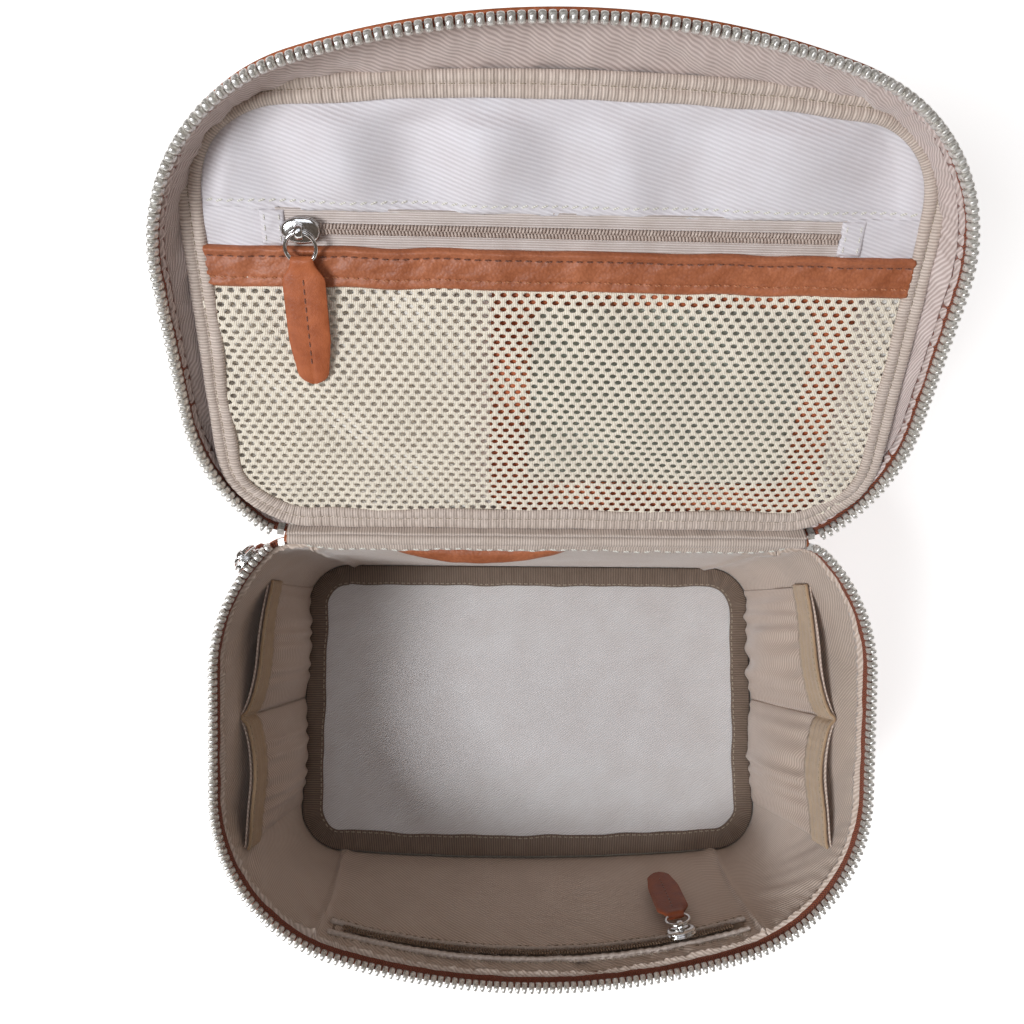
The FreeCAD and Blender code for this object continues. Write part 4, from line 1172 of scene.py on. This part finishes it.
def hinge_tape():
    """Ribbed tape over the lid's side of the hinge, with white stitches along its middle."""
    cols = 300
    x = np.linspace(-back_half(RIM) + 1, back_half(RIM) - 1, cols)[None, :]
    share = np.linspace(0, 1, 14)[:, None]
    low = -0.8 + 0.15 * waves(x, 0, 26, 112)
    n = low + (9.2 - low) * share
    puff = 0.35 * np.sin(np.pi * share) + 0.14 * waves(x, n, 9, 111)
    face = swing(rim_place(x + 0 * n, 3.0 + puff, n + 0 * x))
    back = swing(rim_place(x + 0 * n, 2.3 + 0 * puff, n + 0 * x))
    uv = pair(x, n)
    piece = make_object("hinge_tape", *shell(face, back, uv), "lid", "binding_tape", M["lid_binding"])
    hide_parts("lid_hinge_binding")
    middle = face[6]
    away = face[6] - back[6]
    stitches("hinge_tape_stitches", middle + unit_rows(away) * 0.12, away, "lid", "binding_tape",
             M["white_thread"], 3.6, 0.62, 0.42)


def hinge_roll():
    """The hinge's ribbed tape where it turns down over the back lining, and the leather edge under it."""
    half = back_half(RIM) - 3
    x = np.linspace(-half, half, 300)[None, :]
    turn = np.linspace(0, 1, 16)[:, None]
    ends = np.clip((half - np.abs(x)) / 12, 0, 1) ** 0.5
    inset = 0.4 + (3.7 + 0.3 * waves(x, 0, 30, 113)) * np.sin(turn * 1.9) * ends
    inset = inset + 0.16 * waves(x, turn * 7, 9, 114)
    n = -0.35 - 5.2 * turn ** 1.2 + 0 * x
    face = rim_place(x + 0 * turn, inset, n)
    back = rim_place(x + 0 * turn, inset - 0.45, n - 0.3)
    uv = np.stack(np.broadcast_arrays(x + 0 * turn, turn * 9 + 0 * x), -1)
    piece = make_object("hinge_roll", *shell(face, back, uv), "case", "binding_tape", M["lid_binding"])
    away = face[8] - back[8]
    stitches("hinge_roll_stitches", face[8] + unit_rows(away) * 0.12, away, "case", "binding_tape",
             M["white_thread"], 3.6, 0.62, 0.42)
    bend_x = np.linspace(-34, 34, 90)[None, :]
    share = np.linspace(0, 1, 14)[:, None]
    hang = 5.6 * np.clip(1 - (bend_x / 34.0) ** 2, 0.0, 1) + 0.1
    edge_inset = 3.2 + hang * share + 0.12 * waves(bend_x, share * 9, 9, 115)
    edge_n = -4.9 - 2.6 * share + 1.1 * np.sin(np.pi * share) + 0 * bend_x
    top = rim_place(bend_x - 24 + 0 * share, edge_inset, edge_n)
    low = rim_place(bend_x - 24 + 0 * share, edge_inset - 0.2, edge_n - 0.9)
    leather_uv = np.stack(np.broadcast_arrays(bend_x + 0 * share, share * 6 + 0 * bend_x), -1)
    make_object("hinge_leather_edge", *shell(top, low, leather_uv), "case", "tan_leather", M["band"])


def upper_twill():
    """The padded twill above the zip, wavy, with a turned hem along the zip."""
    cols, rows = 210, 40
    low, high = LID_ZIP_HIGH - 0.4, 138.8
    share = np.linspace(0, 1, rows)[:, None]
    s = low + (high - low) * share
    x = np.linspace(-1, 1, cols)[None, :] * face_half(2.0, s)
    hem = np.exp(-(((s - low - 1.0) / 0.9) ** 2))
    groove = np.exp(-(((s - low - 2.6) / 0.5) ** 2))
    scallop = 0.3 * np.sin(2 * math.pi * x / 2.9)
    soft = 2.4 * waves(x * 1.25, s * 0.25, 44, 121) * np.sin(np.pi * share) ** 0.5
    soft = soft + 0.28 * waves(x, s * 0.4, 15, 122) * np.exp(-share * 2.5)
    inside = smooth_step(face_half(2.0, s) - np.abs(x), 5.5, 13) * smooth_step(high - s, 3.0, 9)
    raised = soft + (0.5 + 0.35 * scallop) * hem - 0.35 * groove + 0.9 * np.sin(np.pi * share)
    depth = POCKET_FACE - 0.4 + raised * inside
    grid = lid_place(x, s + 0 * x + 0.35 * scallop * (1 - share) ** 6, depth)
    uv = pair(x, s)
    piece = cloth("upper_twill", grid, 0.7, "lid", "lining_twill", M["lid_twill"], uv=uv)
    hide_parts("lid_upper_lining")
    row = int(np.argmin(abs(s[:, 0] - low - 2.6)))
    normal = grid_normals(grid)
    stitches("hem_stitches", grid[row] + normal[row] * 0.1, normal[row], "lid", "lining_twill",
             M["white_thread"], 2.9, 0.72, 0.34, 0.35)
    for label, sign in (("left", -1), ("right", 1)):
        u = np.linspace(0, 1, 26)[None, :]
        s_side = np.linspace(BAND_HIGH - 2, LID_ZIP_HIGH + 0.6, 20)[:, None]
        x_side = sign * (LID_ZIP_X - 1.5 + u * (face_half(2.0, s_side) - LID_ZIP_X + 1.5))
        lift = POCKET_FACE - 0.1 + 0.3 * waves(x_side, s_side, 12, 125 + sign)
        patch = lid_place(x_side, s_side + 0 * u, lift)
        patch_uv = pair(x_side, s_side)
        side = cloth(f"side_patch_{label}", patch, 0.6 * sign, "lid", "lining_twill", M["lid_twill"],
                     uv=patch_uv)


def lid_zip():
    cols = 240
    x = np.linspace(-LID_ZIP_X + 0.3, LID_ZIP_X - 0.3, cols)[None, :]
    s = np.linspace(BAND_HIGH - 2.5, LID_ZIP_HIGH + 0.4, 16)[:, None]
    depth = POCKET_FACE - 0.1 + 0.16 * waves(x, s, 16, 131) + 0 * s
    grid = lid_place(x + 0 * s, s + 0 * x, depth)
    uv = pair(x, s)
    piece = cloth("lid_zip_tape_cloth", grid, 0.55, "lid", "beige_zip_tape", M["beige_tape"], uv=uv)
    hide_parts("lid_zip_tape")
    middle = (BAND_HIGH + LID_ZIP_HIGH) / 2
    at = np.arange(-LID_ZIP_X + 3.4, LID_ZIP_X - 3.4, 1.0)

    def on_coil(along, up, lift):
        return lid_place(along, middle + up, POCKET_FACE + 0.1 + lift)
    zip_coil("lid_zip_coil_loops", at, on_coil, "lid", M["coil"], "lid_zip_coil")
    parts = []
    for label, sign in (("left", -1), ("right", 1)):
        u = np.linspace(-1, 1, 16)[None, :]
        w = np.linspace(-1, 1, 20)[:, None]
        tab_x = sign * (LID_ZIP_X + 0.7) + u * 3.5
        tab_s = middle + 0.1 + w * 4.9
        edge = (1 - np.abs(u) ** 6) * (1 - np.abs(w) ** 8)
        lift = POCKET_FACE + 0.15 + 0.75 * edge ** 0.5 + 0.1 * waves(tab_x, tab_s, 5, 133 + sign) * edge
        front = lid_place(tab_x + 0 * w, tab_s + 0 * u, lift)
        back = lid_place(tab_x + 0 * w, tab_s + 0 * u, POCKET_FACE + 0.05 + 0 * lift)
        parts.append((label, front, back, pair(tab_x, tab_s)))
    for label, front, back, tab_uv in parts:
        tab = make_object(f"zip_end_tab_{label}", *shell(front, back, tab_uv), "lid", "lining_twill",
                          M["lid_twill"])
        if label == "left":
            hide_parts("lid_zip_end_tabs")
        for col in (3, 12):
            away = front[1:-1, col] - back[1:-1, col]
            line = front[1:-1, col] + unit_rows(away) * 0.1
            stitches(f"zip_end_tab_{label}_stitches_{col}", line, away, "lid", "lining_twill",
                     M["white_thread"], 2.3, 0.7, 0.22)


def leather_band():
    """The leather band across the mesh, its upper edge rolled, with two puckered rows of stitches."""
    cols, rows = 420, 30
    s = np.linspace(BAND_LOW - 0.4, BAND_HIGH + 0.2, rows)[:, None]
    x = np.linspace(-1, 1, cols)[None, :] * face_half(FACE_BINDING - 1.2, s)
    share = (s - s[0]) / (s[-1] - s[0])
    edge = np.clip(np.minimum(share, 1 - share) * 12.0, 0, 1) ** 0.5
    roll = 0.75 * np.exp(-(((s - BAND_HIGH + 1.0) / 0.9) ** 2))
    rows_at = (BAND_LOW + 2.6, BAND_HIGH - 2.9)
    dimple = 0.3 + 0.14 * np.cos(2 * math.pi * x / 3.0)
    pucker = sum(dimple * np.exp(-(((s - r) / 0.55) ** 2)) for r in rows_at)
    soft = 0.22 * waves(x, s, 13, 141) + 0.12 * waves(x, s, 5, 142)
    depth = POCKET_FACE + 0.1 + 1.0 * edge + roll - pucker + soft * edge
    front = lid_place(x, s + 0.25 * waves(x, 0, 24, 143), depth)
    back = lid_place(x, s + 0.25 * waves(x, 0, 24, 143), POCKET_FACE + 0.05 + 0 * depth)
    uv = pair(x, s)
    piece = make_object("leather_band", *shell(front, back, uv), "lid", "tan_leather", M["band"])
    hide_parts("lid_leather_band")
    for label, at, kind in (("lower", rows_at[0], "tan_thread"), ("upper", rows_at[1], "dark_thread")):
        row = int(np.argmin(abs(s[:, 0] - at)))
        away = front[row] - back[row]
        stitches(f"band_stitches_{label}", front[row] + unit_rows(away) * 0.12, away, "lid", "tan_leather",
                 M[kind], 3.0, 0.66, 0.27)


def mesh_pocket():
    """Knitted mesh with real holes in staggered rows, draped in soft diagonal waves."""
    wide, tall = 3.5, 2.1
    hole_x, hole_s = 1.12, 0.75
    corners = [(-0.5, -0.5), (0, -0.5), (0.5, -0.5), (0.5, 0), (0.5, 0.5), (0, 0.5), (-0.5, 0.5), (-0.5, 0)]
    index, flat, quads = {}, [], []
    hole_edges = []

    def vertex(x, s):
        key = (round(x * 50), round(s * 50))
        if key not in index:
            index[key] = len(flat)
            flat.append((x, s))
        return index[key]
    row_count = int(91 / tall)
    for row in range(row_count):
        cs = 4.0 + row * tall
        reach = float(face_half(2.0, max(cs, 4.5)))
        shift = wide / 2 if row % 2 else 0.0
        for col in range(-34, 35):
            cx = col * wide + shift
            if abs(cx) > reach - wide / 2:
                continue
            outer = [vertex(cx + a * wide, cs + b * tall) for a, b in corners]
            inner = []
            for a, b in corners:
                angle = math.atan2(b * 1.25, a)
                inner.append(vertex(cx + hole_x * math.cos(angle), cs + hole_s * math.sin(angle)))
            for i in range(8):
                j = (i + 1) % 8
                quads.append((outer[i], outer[j], inner[j], inner[i]))
                hole_edges.append((inner[i], inner[j]))
    flat = np.array(flat)
    x, s = flat[:, 0], flat[:, 1]
    diagonal = 0.5 * np.sin((x + s * 1.5) / 6.2 + 1.3 * waves(x, s, 60, 151))
    drape = diagonal * smooth_step(s, 0, 20) * 0.8 + 0.4 * waves(x, s, 34, 152)
    depth = POCKET_FACE - 0.1 + drape
    front = lid_place(x, s, depth)
    back = lid_place(x, s, depth - 0.4)
    count = len(flat)
    edge_use = {}
    for quad in quads:
        for i in range(4):
            key = tuple(sorted((quad[i], quad[(i + 1) % 4])))
            edge_use[key] = edge_use.get(key, 0) + 1
    walls = [(a, b, b + count, a + count) for (a, b), used in edge_use.items() if used == 1]
    faces = quads + [tuple(v + count for v in reversed(q)) for q in quads] + walls
    flat_uv = np.concatenate([flat, flat])
    piece = make_object("mesh_pocket_net", np.concatenate([front, back]), faces,
                        flat_uv[np.array(faces)], "lid", "pocket_mesh", M["mesh"])
    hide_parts("mesh_pocket")


def rounded_rectangle(x_range, s_range, inset, corner, per_corner=10):
    """Points round a rectangle with round corners, at a distance inside its edge."""
    (x0, x1), (s0, s1) = x_range, s_range
    radius = max(corner - inset, 0.6)
    x, s = [], []
    left, right = x0 + inset + radius, x1 - inset - radius
    bottom, top = s0 + inset + radius, s1 - inset - radius
    for cx, cs, start in ((right, top, 0), (left, top, 90), (left, bottom, 180), (right, bottom, 270)):
        for angle in np.radians(np.linspace(start, start + 90, per_corner)):
            x.append(cx + radius * math.cos(angle))
            s.append(cs + radius * math.sin(angle))
    fine_x, fine_s = [], []
    for i in range(len(x)):
        j = (i + 1) % len(x)
        steps = max(int(math.hypot(x[j] - x[i], s[j] - s[i]) / 4), 1)
        for k in range(steps):
            fine_x.append(x[i] + (x[j] - x[i]) * k / steps)
            fine_s.append(s[i] + (s[j] - s[i]) * k / steps)
    return np.array(fine_x), np.array(fine_s)


def backing_cloth():
    """The lining behind the mesh, which stands proud of its board except under the mirror."""
    rows, cols = 90, 150
    s = np.linspace(5.5, 134.5, rows)[:, None]
    x = np.linspace(-1, 1, cols)[None, :] * face_half(4.5, s)
    beside_x = np.maximum(FRAME_X[0] - x, x - FRAME_X[1])
    beside_s = np.maximum(FRAME_S[0] - s, s - FRAME_S[1])
    clear = smooth_step(np.maximum(beside_x, beside_s + 0 * x), 0.5, 7) * (1 - smooth_step(s, 87, 95))
    depth = 4.22 + 2.6 * clear * (0.85 + 0.15 * waves(x, s, 26, 171))
    grid = lid_place(x, s + 0 * x, depth)
    uv = pair(x, s)
    # Its near-white twill is painted light, so the mesh holes over it read bright.
    piece = cloth("backing_cloth", grid, 0.5, "lid", "lining_twill", M["backing"], uv=uv)
    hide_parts("lid_backing_lining")


def mirror_frame():
    low, thick = 4.25, 2.7
    lanes = np.linspace(0, 1, 15)
    base_x, base_s = rounded_rectangle(FRAME_X, FRAME_S, 0.0, 8.0)
    centre = np.array([(FRAME_X[0] + FRAME_X[1]) / 2, (FRAME_S[0] + FRAME_S[1]) / 2])
    inner_x, inner_s = base_x, base_s
    rows, lows, uvs = [], [], []
    width, height = (FRAME_X[1] - FRAME_X[0]) / 2, (FRAME_S[1] - FRAME_S[0]) / 2
    for lane in lanes:
        reach = FRAME_BORDER * lane
        x = centre[0] + (inner_x - centre[0]) * (width - reach) / width
        s = centre[1] + (inner_s - centre[1]) * (height - reach) / height
        rise = thick * (1 - abs(2 * lane - 1) ** 5) ** 0.5 if 0 < lane < 1 else 0.35
        rows.append(lid_place(x, s, low + rise + 0.08 * waves(x, s, 14, 161)))
        lows.append(lid_place(x, s, low + 0 * x))
        uvs.append(np.stack([np.append(x, x[0]), np.append(s, s[0])], -1))
    skin = shell(np.array(rows), np.array(lows), np.array(uvs), wrap=True)
    # Its leather is painted lighter to offset the shade under the mesh.
    piece = make_object("mirror_frame_skin", *skin, "lid", "tan_leather", M["frame"])
    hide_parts("mirror_frame")
    row = rows[11]
    away = row - lows[11]
    stitches("mirror_frame_stitches", row + unit_rows(away) * 0.12, away, "lid", "tan_leather",
             M["tan_thread"], 3.0)


# ---------------------------------------------------------------- sliders, rings and pulls

def to_place(local, origin, x_way, y_way):
    z_way = np.cross(x_way, y_way)
    return origin + local[..., :1] * x_way + local[..., 1:2] * y_way + local[..., 2:] * z_way


def tilt_local(points, angle):
    y, z = points[..., 1], points[..., 2]
    cos, sin = math.cos(angle), math.sin(angle)
    return stack(points[..., 0], y * cos - z * sin, y * sin + z * cos)


def zip_slider(name, node, body, origin, x_way, y_way):
    """A cast slider: a domed plate over a lower plate, with an arched bail."""
    angle = np.linspace(0, 2 * math.pi, 48, endpoint=False)
    power = 0.78
    out_x = 5.4 * np.sign(np.cos(angle)) * np.abs(np.cos(angle)) ** power
    narrow = 1 - 0.16 * smooth_step(-out_x, 0.5, 5.4)
    out_y = 3.75 * np.sign(np.sin(angle)) * np.abs(np.sin(angle)) ** power * narrow
    top_plate = ((0.0, -1.2), (0.35, -1.22), (0.62, -1.32), (0.82, -1.5), (0.94, -1.72), (1.0, -2.02),
                 (0.96, -2.3))
    waist = ((0.84, -2.42), (0.8, -2.8), (0.86, -3.1))
    lower_plate = ((0.97, -3.2), (0.99, -3.5), (0.9, -3.72), (0.5, -3.75), (0.0, -3.75))
    rings = top_plate + waist + lower_plate
    grid = np.array([stack(out_x * share, out_y * share, height) for share, height in rings])
    points, faces = tube_parts(grid, False)
    faces = faces[:-2]
    arch = np.linspace(0, math.pi, 15)
    bail_y, bail_z = 1.85 * np.cos(arch), -0.6 + 1.75 * np.sin(arch) ** 0.85
    leg_y = np.concatenate([[1.85], bail_y, [-1.85]])
    leg_z = np.concatenate([[-1.7], bail_z, [-1.7]])
    path = stack(np.zeros_like(leg_y), leg_y, leg_z)
    arched = tube(path, 0.36, 10)
    arched[..., 0] *= 3.2
    bail_points, bail_faces = tube_parts(arched, False)
    faces += [[v + len(points) for v in face] for face in bail_faces]
    local = np.concatenate([points, bail_points])
    piece = make_object(name, to_place(local, origin, x_way, y_way), faces, None, body, "slider_metal",
                        M["chrome"])
    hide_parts(node)


def ring_and_pull(prefix, ring_node, pull_node, body, origin, x_way, y_way, tilt=0.0):
    angle = np.linspace(0, 2 * math.pi, 56, endpoint=False)
    circle = stack(RING_RADIUS * np.sin(angle), -RING_RADIUS + RING_RADIUS * np.cos(angle), 0.0 * angle)
    placed = to_place(tilt_local(circle, tilt), origin, x_way, y_way)
    ring = tube_object(f"{prefix}_pull_ring", placed, RING_WIRE, body, "slider_metal", M["chrome"], 12, True)
    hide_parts(ring_node)

    top = -2 * RING_RADIUS + 2.0
    down = np.concatenate([np.linspace(0, 1.4, 8), np.linspace(2.2, PULL_LENGTH - 4, 44),
                           PULL_LENGTH - 4 + 4 * np.sin(np.linspace(0.15, 1, 10) * math.pi / 2)])
    shoulder = smooth_step(down, 1.6, 7.5)
    half = 3.3 + (6.2 - 3.3) * shoulder - 1.5 * smooth_step(down, 24, 39)
    tip = np.clip((down - (PULL_LENGTH - 4)) / 4, 0, 1)
    half = half * np.sqrt(np.clip(1 - tip ** 2 * 0.96, 0, 1))
    across = np.sin(np.linspace(-1, 1, 25) * math.pi / 2)[None, :]
    fold = np.sqrt(np.clip(1 - (1 - np.clip(down / 1.3, 0, 1)) ** 2, 0.02, 1))[:, None]
    neck = 0.55 * np.exp(-(((down - 1.6) / 1.8) ** 2))[:, None]
    body_half = (0.95 * (1 - 0.72 * np.abs(across) ** 5) + neck) * fold
    x = half[:, None] * across
    groove = 0.18 * np.exp(-((x / 0.55) ** 2)) * smooth_step(down, 5, 7)[:, None]
    flex = 0.35 * np.sin(down / PULL_LENGTH * math.pi)[:, None]
    y = top - down[:, None] + 0 * x
    upper = stack(x, y, body_half - groove + flex)
    lower = stack(x, y, -body_half + flex)
    uv = np.stack([x, y], -1)
    upper, lower = (to_place(tilt_local(side, tilt), origin, x_way, y_way) for side in (upper, lower))
    # The front pull takes the darker copy of its leather, which paints in the shade it hangs in.
    tan = M["front_pull" if prefix == "front" else "pull"]
    pull = make_object(f"{prefix}_pull_tab", *shell(upper, lower, uv), body, "tan_leather", tan)
    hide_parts(pull_node)
    rows = (down > 6) & (down < PULL_LENGTH - 6)
    line, away = upper[rows, 12], (upper - lower)[rows, 12]
    stitches(f"{prefix}_pull_stitches", line + unit_rows(away) * 0.05, away, body, "tan_leather",
             M["dark_thread"], 2.7, 0.66, 0.26)


def sliders():
    joints = {joint["name"]: joint for joint in frame["record"]["behaviour"]["joints"]}

    def pivot(name):
        return np.array(joints[name]["pos_m"]) / MM
    zero = rim_place(0.0, 0.0, 0.0)
    normal = rim_place(0.0, 0.0, 1.0) - zero
    lid_y = lid_place(0.0, 1.0, 0.0) - lid_place(0.0, 0.0, 0.0)
    right = np.array([1.0, 0.0, 0.0])
    places = (
        ("lid", "lid_zip", "lid_slider", "lid_pull", pivot("lid_pull_swing"), right, lid_y, PULL_TILT_LID),
        ("front", "front_pocket", "front_slider", "front_pull", pivot("front_pull_swing"),
         -np.array(joints["front_pull_swing"]["axis"]), normal, PULL_TILT_FRONT),
    )
    for prefix, node, slider_body, pull_body, origin, x_way, y_way, tilt in places:
        zip_slider(f"{prefix}_slider_cast", f"{node}_slider", slider_body, origin, x_way, y_way)
        ring_and_pull(prefix, f"{node}_ring", f"{node}_pull", pull_body, origin, x_way, y_way, tilt)
    _, length = spread(RIM, ZIP_INSET, 1.0, EDGES, 50)
    fine = np.linspace(1.0, EDGES, 6000)
    x, s = outline_at(RIM, ZIP_INSET, fine)
    steps = np.concatenate([[0.0], np.cumsum(np.hypot(np.diff(x), np.diff(s)))])
    at = length - MAIN_SLIDER_FROM_END
    ahead = [np.interp(at + d, steps, x) for d in (0, 0.2)], [np.interp(at + d, steps, s) for d in (0, 0.2)]
    run = rim_place(ahead[0][1] - ahead[0][0], ahead[1][1] - ahead[1][0], 0.0) - zero
    run = -run / np.linalg.norm(run)
    origin = pivot("main_pull_swing")
    zip_slider("main_slider_cast", "main_zip_slider", "case", origin, run, normal)
    ring_and_pull("main", "main_zip_ring", "main_zip_pull", "main_pull", origin,
                  -np.array(joints["main_pull_swing"]["axis"]), np.array([0.0, 0.0, 1.0]))


# ---------------------------------------------------------------- carried-over nodes

def dress_nodes():
    """Materials for the CAD pieces that stay as they are."""
    kinds = dict(
        board=("base_board", "left_wall_board", "right_wall_board", "back_wall_board", "lid_board"),
        lining=("front_pocket_bag",),
        teeth=("main_zip_stops_body", "main_zip_stops_lid"),
        mirror=("mirror_glass",),
    )
    for kind, nodes in kinds.items():
        for node in nodes:
            for slot in frame["nodes"][node].material_slots:
                slot.material = M[kind]


# ---------------------------------------------------------------- scene

def stage_and_light():
    bpy.ops.mesh.primitive_plane_add(size=6.0, location=(0, 0, -0.0002))
    floor = bpy.context.object
    floor.name = "floor"
    cover = Surface("studio_floor", 0.6, Emission_Color=(1, 1, 1, 1), Emission_Strength=0.68)
    floor.data.materials.append(cover.paint(linear(236, 235, 233)))
    world = bpy.data.worlds.new("studio")
    world.use_nodes = True
    world.node_tree.nodes["Background"].inputs["Color"].default_value = (1.0, 0.82, 0.68, 1)
    world.node_tree.nodes["Background"].inputs["Strength"].default_value = 0.12
    bpy.context.scene.world = world
    target = Vector((0.0, 0.03, 0.1))
    lights = (
        ("key", (-0.86, -0.52, 1.3), 0.5, 20.5, (0.94, 0.985, 1.03)),
        ("fill", (1.15, 0.1, 1.1), 0.8, 0.6, (0.97, 0.98, 1.0)),
        ("top", (-0.1, 0.0, 1.7), 0.9, 4.6, (0.92, 0.98, 1.08)),
    )
    for name, place, size, power, colour in lights:
        lamp = bpy.data.lights.new(name, "AREA")
        lamp.size = size
        lamp.energy = power
        lamp.color = colour
        holder = bpy.data.objects.new(name, lamp)
        bpy.context.scene.collection.objects.link(holder)
        holder.location = place
        holder.rotation_euler = (Vector(place) - target).to_track_quat("Z", "Y").to_euler()
    bpy.context.scene.view_settings.view_transform = "Standard"


def camera():
    lens = bpy.data.cameras.new("camera")
    lens.sensor_width = SENSOR_WIDTH
    lens.lens = FOCAL_LENGTH
    eye = bpy.data.objects.new("camera", lens)
    bpy.context.scene.collection.objects.link(eye)
    turn = Matrix.Identity(4)
    for angle, axis in EYE_TURNS:
        turn = turn @ Matrix.Rotation(angle, 4, axis)
    eye.matrix_world = Matrix.Translation(Vector(EYE) * MM) @ turn
    bpy.context.scene.camera = eye


camera()
stage_and_light()
dress_nodes()
base_skin()
for number, wall in enumerate(("front", "right", "back", "left")):
    leather_wall(wall, 200 + number)
    wall_lining(wall, 210 + 5 * number)
floor_pieces()
for hand in (1, -1):
    for number, compartment in enumerate(POCKET_SPANS):
        gathered_pocket(hand, compartment, 240 + 10 * number + 3 * hand)
    elastic_band(hand)
front_zip()
for hand in (-1, 1):
    main_tape(hand)
    main_teeth(hand)
hinge_skin()
hinge_cover()
lid_panel_skin()
gusset_skin()
gusset_lining_piece()
panel_binding()
hinge_tape()
hinge_roll()
upper_twill()
lid_zip()
leather_band()
mesh_pocket()
backing_cloth()
mirror_frame()
sliders()
